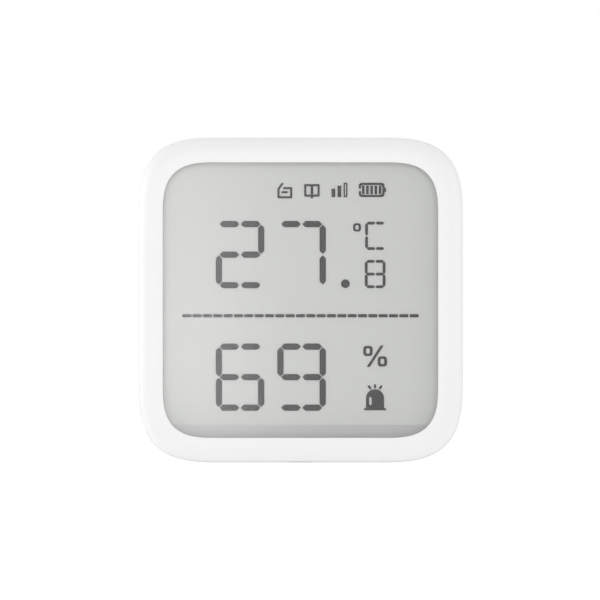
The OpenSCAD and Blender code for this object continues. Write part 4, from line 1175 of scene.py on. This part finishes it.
for node, material, slot in (
    ("chip_capacitors", ceramic, "capacitor_ceramic"),
    ("chip_resistors", chip_epoxy, "chip_epoxy"),
):
    row = chip_row(node)
    tall = corners(node)[1][2] - corners(node)[0][2]
    half = CHIP["wide"] / 2
    inner = CHIP["long"] / 2 - CHIP["end"]
    reach = inner + CHIP["overlap"]
    inset = CHIP["inset"]
    body = soft_block((-reach, inset - half, inset), (reach, half - inset, tall - inset), 0.04)
    dress(ease(repeat(f"{node}_bodies", body, row, material)), "front_unit", slot, node)
    tips = []
    for side in (-1, 1):
        middle = side * (inner + CHIP["end"] / 2)
        low = (middle - CHIP["end"] / 2, -half, 0)
        tips.append(soft_block(low, (middle + CHIP["end"] / 2, half, tall), 0.06))
    dress(ease(repeat(f"{node}_ends", joined(tips), row, tin_solder)), "front_unit", "tinned_steel")

# %% [markdown]
# ## Wound wires
# The radio's antenna is a coil of enamelled copper wire on two feet, and each battery rests on a conical
# steel spring. A third small tree sweeps a round wire along any path. The path itself is a short formula: a
# circle that advances, with a radius that may shrink.


# %% Wire on a path
def wire_on_path():
    """A tree that sweeps a round wire along a path of edges."""
    inputs = {"Path": "Geometry", "Wire Radius": "Float", "Sides": "Int", "Finish": "Material"}
    tree, given = new_tree("wire_on_path", inputs, "Wire")
    path = add(tree, "GeometryNodeMeshToCurve", {"Mesh": given["Path"]})
    size = {"Resolution": given["Sides"], "Radius": given["Wire Radius"]}
    round_wire = add(tree, "GeometryNodeCurvePrimitiveCircle", size)
    sweep = {"Curve": path, "Profile Curve": round_wire, "Fill Caps": True}
    wire = add(tree, "GeometryNodeCurveToMesh", sweep)
    return end_tree(tree, wire, given["Finish"])


WIRE = wire_on_path()
WIRE_SIDES = 14
PER_TURN = 28


def wound(name, paths, wire_r, material):
    """One piece of wires along several paths, given as places in millimetres on the face."""
    points, edges = [], []
    for path in paths:
        edges += [(len(points) + i, len(points) + i + 1) for i in range(len(path) - 1)]
        points += [at(*p) for p in path]
    inputs = {"Wire Radius": wire_r * MM, "Sides": WIRE_SIDES, "Finish": material}
    return outwards(grown(name, WIRE, inputs, points, edges))


# %% Antenna coil
COIL = {"right": 6.8, "up": 24.1, "back": 11.4, "r": 2.2, "wire": 0.4, "turns": 8.5}
COIL_FEET = [(side * COIL["right"], COIL["up"] - side * COIL["r"], BOARD_BACK) for side in (-1, 1)]
steps = round(COIL["turns"] * PER_TURN)
turns = []
for i in range(steps + 1):
    angle = math.tau * i / PER_TURN
    up = COIL["up"] + COIL["r"] * math.cos(angle)
    turns.append((COIL["right"] * (2 * i / steps - 1), up, COIL["back"] + COIL["r"] * math.sin(angle)))
coil = wound("antenna_winding", [[COIL_FEET[0], *turns, COIL_FEET[1]]], COIL["wire"], copper_wire)
dress(ease(coil), "front_unit", "copper_wire", "antenna_coil")

# %% [markdown]
# ## Batteries and their holder
# Two cells lie side by side in an open black holder, head to tail. A cell is a turned shape: a steel can with
# a rolled crimp and a button, and a printed film shrunk over it that curls around both ends. It is drawn as
# one section that turns around its axis, and each band of the section has its own finish. The film is smooth
# and glossy, slate blue with one pale band at the button end, and the holder is black and satin.

# %% Battery cells
black_abs = moulded("moulded_black_abs", "292A2C", "1F2022", (0.42, 0.55), 0.3, 1.54)
cell_film = moulded("shrunk_printed_film", "47586C", "3D4E62", (0.25, 0.34), 0.4, 1.53)
film_band = moulded("printed_film_band", "CDD1D4", "C3C7CA", (0.25, 0.34), 0.4, 1.53)
softened("battery_holder", 0.20, black_abs, "black_abs")

CELL_R = 5.25
CELL_LONG = 44.5
BUTTON = (1.9, 1.0)
HOLDER_UP = -7.8
CELL_STEP = 11.6
CELL_BACK = 14.15
FLAT_END = -20.65
STEEL, FILM, BAND = 0, 1, 2
# Middle line and direction of each cell: the upper one has its button at the right.
CELLS = [(HOLDER_UP + side * CELL_STEP / 2, side) for side in (1, -1)]
shoulder = CELL_LONG - BUTTON[1]
cell_section = [
    (0.25, 0.0, STEEL),
    (0.25, 3.3, STEEL),
    (0.0, 3.5, STEEL),
    (0.0, 4.3, STEEL),
    (0.25, 4.5, FILM),
    (0.05, 4.85, FILM),
    (0.25, 5.15, FILM),
    (0.6, CELL_R, FILM),
    (shoulder - 9.0, CELL_R, BAND),
    (shoulder - 0.6, CELL_R, BAND),
    (shoulder - 0.2, 5.12, BAND),
    (shoulder, 4.8, BAND),
    (shoulder - 0.15, 4.4, STEEL),
    (shoulder - 0.3, 3.4, STEEL),
    (shoulder - 0.3, 2.5, STEEL),
    (shoulder, 2.2, STEEL),
    (shoulder + 0.1, BUTTON[0], STEEL),
    (CELL_LONG - 0.18, BUTTON[0], STEEL),
    (CELL_LONG, BUTTON[0] - 0.18, STEEL),
    (CELL_LONG, 0.0, STEEL),
]


def banded(section, middle, axis, steps):
    """A turned shape from points of (along, radius, finish)."""
    return lathe([p[:2] for p in section], middle, axis, steps, [p[2] for p in section])


cells = [banded(cell_section, (side * FLAT_END, up, CELL_BACK), (side, 0, 0), 64) for up, side in CELLS]
cells = from_shape("cell_pair", joined(cells), nickel_steel, cell_film, film_band)
dress(ease(cells), "front_unit", "cell_can", "battery_cells")

# %% [markdown]
# ## Springs and contact plates
# Each cell is pressed by a conical spring of bright nickelled steel on a small plate, at its flat end. The
# spring is one wire whose radius shrinks as it climbs. The plates at the other ends and the strip that joins
# the two cells are softened copies of their solids.

# %% Springs and contact plates
SPRING = {"base": 3.8, "tip": 2.2, "turns": 2.5, "wire": 0.35, "from": -23.65, "to": -21.05}
INSIDE_HALF = 24.25
PLATE = {"half": 4.0, "thick": 0.4}
steps = round(SPRING["turns"] * PER_TURN)
spring_paths, plates = [], []
for up, side in CELLS:
    path = []
    for i in range(steps + 1):
        share = i / steps
        angle = side * math.tau * i / PER_TURN
        r = SPRING["base"] + (SPRING["tip"] - SPRING["base"]) * share
        along = SPRING["from"] + (SPRING["to"] - SPRING["from"]) * share
        path.append((side * along, up + side * r * math.cos(angle), CELL_BACK + r * math.sin(angle)))
    spring_paths.append(path)
    ends = sorted((-side * INSIDE_HALF, -side * (INSIDE_HALF - PLATE["thick"])))
    low = (ends[0], up - PLATE["half"], CELL_BACK - PLATE["half"])
    plates.append(soft_block(low, (ends[1], up + PLATE["half"], CELL_BACK + PLATE["half"]), 0.08))
springs = wound("battery_spring_contacts", spring_paths, SPRING["wire"], nickel_steel)
merge_in(springs, joined(plates))
dress(ease(springs), "front_unit", "tinned_steel", "battery_springs")
softened("battery_plates", 0.08, nickel_steel, "tinned_steel")
softened("bridge_strip", 0.08, nickel_steel, "tinned_steel")

# %% [markdown]
# ## Capacitor
# The tall capacitor is a drawn aluminium can in a dark shiny sleeve with a pale stripe for its minus side,
# and its top is scored with a cross so that it opens there first. It is turned like the cells. The stripe is
# a choice of faces by their angle, and the cross is cut.

# %% Capacitor
sleeve = moulded("shrunk_pvc_sleeve", "2B323D", "252B35", (0.30, 0.40), 0.4, 1.53)
sleeve_stripe = moulded("printed_sleeve_stripe", "C6CACE", "BCC0C4", (0.30, 0.40), 0.4, 1.53)
CAN = {"r": 2.5, "high": 5.4, "stripe": 24}
SCORE = {"long": 3.0, "wide": 0.14, "deep": 0.1}
PAST = 1.0
ALUMINIUM, SLEEVE, STRIPE = 0, 1, 2
can_section = [
    (0.0, 0.0, SLEEVE),
    (0.0, CAN["r"] - 0.2, SLEEVE),
    (0.2, CAN["r"], SLEEVE),
    (0.7, CAN["r"], SLEEVE),
    (0.95, CAN["r"] - 0.22, SLEEVE),
    (1.2, CAN["r"], SLEEVE),
    (CAN["high"] - 0.25, CAN["r"], SLEEVE),
    (CAN["high"] - 0.02, CAN["r"] - 0.25, SLEEVE),
    (CAN["high"] - 0.06, CAN["r"] - 0.55, ALUMINIUM),
    (CAN["high"], CAN["r"] - 0.75, ALUMINIUM),
    (CAN["high"], 0.0, ALUMINIUM),
]


def cut_cross(piece, right, up, top, size):
    """Cuts a cross into a piece's top, by its length, its width and its depth."""
    for wide, tall in ((size["long"], size["wide"]), (size["wide"], size["long"])):
        low = (right - wide / 2, up - tall / 2, top - size["deep"])
        cut(piece, block(low, (right + wide / 2, up + tall / 2, top + PAST)))


right, up = middle_of("bulk_capacitor")[:2]
can = banded(can_section, (right, up, BOARD_BACK), BACK, 60)
for face in can.faces:
    spot = face.calc_center_median() - at(right, up, 0)
    if face.material_index == SLEEVE and abs(math.degrees(math.atan2(spot.z, -spot.x))) < CAN["stripe"]:
        face.material_index = STRIPE
can = from_shape("capacitor_can", can, aluminium, sleeve, sleeve_stripe)
cut_cross(can, right, up, BOARD_BACK + CAN["high"], SCORE)
dress(ease(can), "front_unit", "capacitor_sleeve", "bulk_capacitor")

# %% [markdown]
# ## Switches
# The two switches are square bodies of black nylon filled with glass fibre, which makes it dull, under a
# thin steel plate with a round hole. Four bent legs solder each one to the board. The plate is drawn as rings
# that run from the hole to the square, so its hole stays round and its faces stay even.

# %% Switches
switch_nylon = moulded("glass_filled_nylon", "2C2D2E", "222324", (0.50, 0.65), 0.2, 1.53)
COVER_PLATE = {"half": 2.8, "bore": 2.05, "thick": 0.2}
LEG_PATH = [(-0.1, 1.3), (0.35, 1.3), (0.55, 0.1), (1.3, 0.1)]
LEG = {"wide": 0.7, "thick": 0.2, "across": 2.25}


def bored_plate(half, bore, thick, steps=32):
    """A square plate with a round hole, drawn as rings that run from the hole to the square."""
    shape = bmesh.new()
    rings = []
    for reach, high in ((0, 0), (1, 0), (1, thick), (0, thick)):
        ring = []
        for i in range(steps):
            angle = math.tau * (i + 0.5) / steps
            way = Vector((math.cos(angle), math.sin(angle)))
            far = half / max(abs(way.x), abs(way.y)) if reach else bore
            ring.append(shape.verts.new(at(way.x * far, way.y * far, high)))
        rings.append(ring)
    for near, far in zip(rings, rings[1:] + rings[:1]):
        skin_between(shape, near, far)
    return shape


spots, leg_places, leg_turns = [], [], []
for node in ("tamper_switch", "pairing_switch"):
    softened(node, 0.2, switch_nylon, "switch_nylon")
    right, up = middle_of(node)[:2]
    half = corners(node)[1][0] - right
    spots.append((right, up, corners(node)[1][2]))
    for side, turn in ((1, 0), (-1, 180)):
        for across in (-LEG["across"], LEG["across"]):
            leg_places.append((right + side * half, up + across, BOARD_BACK))
            leg_turns.append(turn)
covers = repeat("switch_plates", bored_plate(**COVER_PLATE), spots, tinned_steel)
dress(ease(covers, 0.05), "front_unit", "tinned_steel")
leg = strip(LEG_PATH, LEG["wide"], LEG["thick"])
dress(ease(repeat("switch_legs", leg, leg_places, tin_solder, leg_turns)), "front_unit", "tinned_steel")

# %% [markdown]
# ## Push pieces
# In each switch moves a turned piece of natural nylon, cream and a little waxy: the plunger that the closed
# housing touches, and the pairing button. They are bodies of their own, so each rides on the body that bears
# its name.

# %% Push pieces
button_nylon = moulded("natural_nylon", "E8E4D9", "E0DBCE", (0.35, 0.45), 0.3, 1.53)
TIP = 0.35
TIP_ANGLES = (0.5, 1.0, math.pi / 2)
for node in ("tamper_plunger", "pairing_button"):
    low, high = corners(node)
    r = (high[0] - low[0]) / 2
    tall = high[2] - low[2]
    section = [(0, r - SOFT), (SOFT, r), (tall - TIP, r)]
    section += [(tall - TIP + TIP * math.sin(a), r - TIP + TIP * math.cos(a)) for a in TIP_ANGLES]
    stem = lathe(section, (*middle_of(node)[:2], low[2]), BACK)
    dress(ease(from_shape(f"{node}_stem", stem, button_nylon)), node, "button_nylon", node)

# %% [markdown]
# ## Screws
# Four cross-head screws hold the board. One screw is drawn once, with its cross cut into a domed head, and
# the copies tree puts it on the four posts.

# %% Screws
SCREW = {"at": 22.8, "head": 1.8, "high": 1.2, "shank": 0.9, "long": 3.2}
CROSS = {"long": 2.3, "wide": 0.5, "deep": 0.6}
screw_section = [(-SCREW["long"], 0.0), (0.25 - SCREW["long"], SCREW["shank"]), (0.0, SCREW["shank"])]
screw_section += [(0.0, SCREW["head"] - 0.1), (0.12, SCREW["head"]), (0.5, SCREW["head"])]
screw_section += [(0.9, 1.5), (1.12, 0.9), (SCREW["high"], 0.4), (SCREW["high"], 0.0)]
screw = from_shape("screw", lathe(screw_section, (0, 0, 0), BACK, 32), tinned_steel)
cut_cross(screw, 0, 0, SCREW["high"], CROSS)
posts = [(x * SCREW["at"], y * SCREW["at"], BOARD_BACK) for x in (-1, 1) for y in (-1, 1)]
screws = repeat("cross_head_screws", taken(screw), posts, tinned_steel)
dress(ease(screws), "front_unit", "tinned_steel", "board_screws")

# %% [markdown]
# ## Pads, plated holes and solder
# A bare board would look like a toy. So the copies tree also lays a tinned pad under each end of the small
# chips, two rows of plated holes, and a mound of solder around each foot of the coil.

# %% Pads, plated holes and solder
CHIP_PAD = {"out": CHIP["long"] / 2 + 0.1, "half_wide": 0.35, "half_tall": 0.45, "thick": 0.06}
VIA_SECTION = [(0, 0.42), (0.04, 0.38), (0.04, 0.2), (0.01, 0.16)]
MOUND_SECTION = [(0, 1.0), (0.12, 0.85), (0.35, 0.6), (0.7, 0.44), (0.75, 0.0)]
VIA_ROWS = (
    {"first": -19, "step": 4.6, "up": 6.7, "count": 9},
    {"first": -19.5, "step": 3.1, "up": 19.4, "count": 13},
)
pads = []
for node in CHIP_COUNTS:
    for right, up, back in chip_row(node):
        pads += [(right + side * CHIP_PAD["out"], up, back) for side in (-1, 1)]
low = (-CHIP_PAD["half_wide"], -CHIP_PAD["half_tall"], 0)
pad = soft_block(low, (CHIP_PAD["half_wide"], CHIP_PAD["half_tall"], CHIP_PAD["thick"]), 0.02)
dress(ease(repeat("chip_pads", pad, pads, tin_solder)), "front_unit", "tinned_steel")

vias = []
for row in VIA_ROWS:
    vias += [(row["first"] + row["step"] * i, row["up"], BOARD_BACK) for i in range(row["count"])]
via = lathe(VIA_SECTION, (0, 0, 0), BACK, 16)
dress(ease(repeat("plated_holes", via, vias, tin_solder)), "front_unit", "tinned_steel")

mound = lathe(MOUND_SECTION, (0, 0, 0), BACK, 24)
dress(ease(repeat("solder_mounds", mound, COIL_FEET, tin_solder)), "front_unit", "tinned_steel")
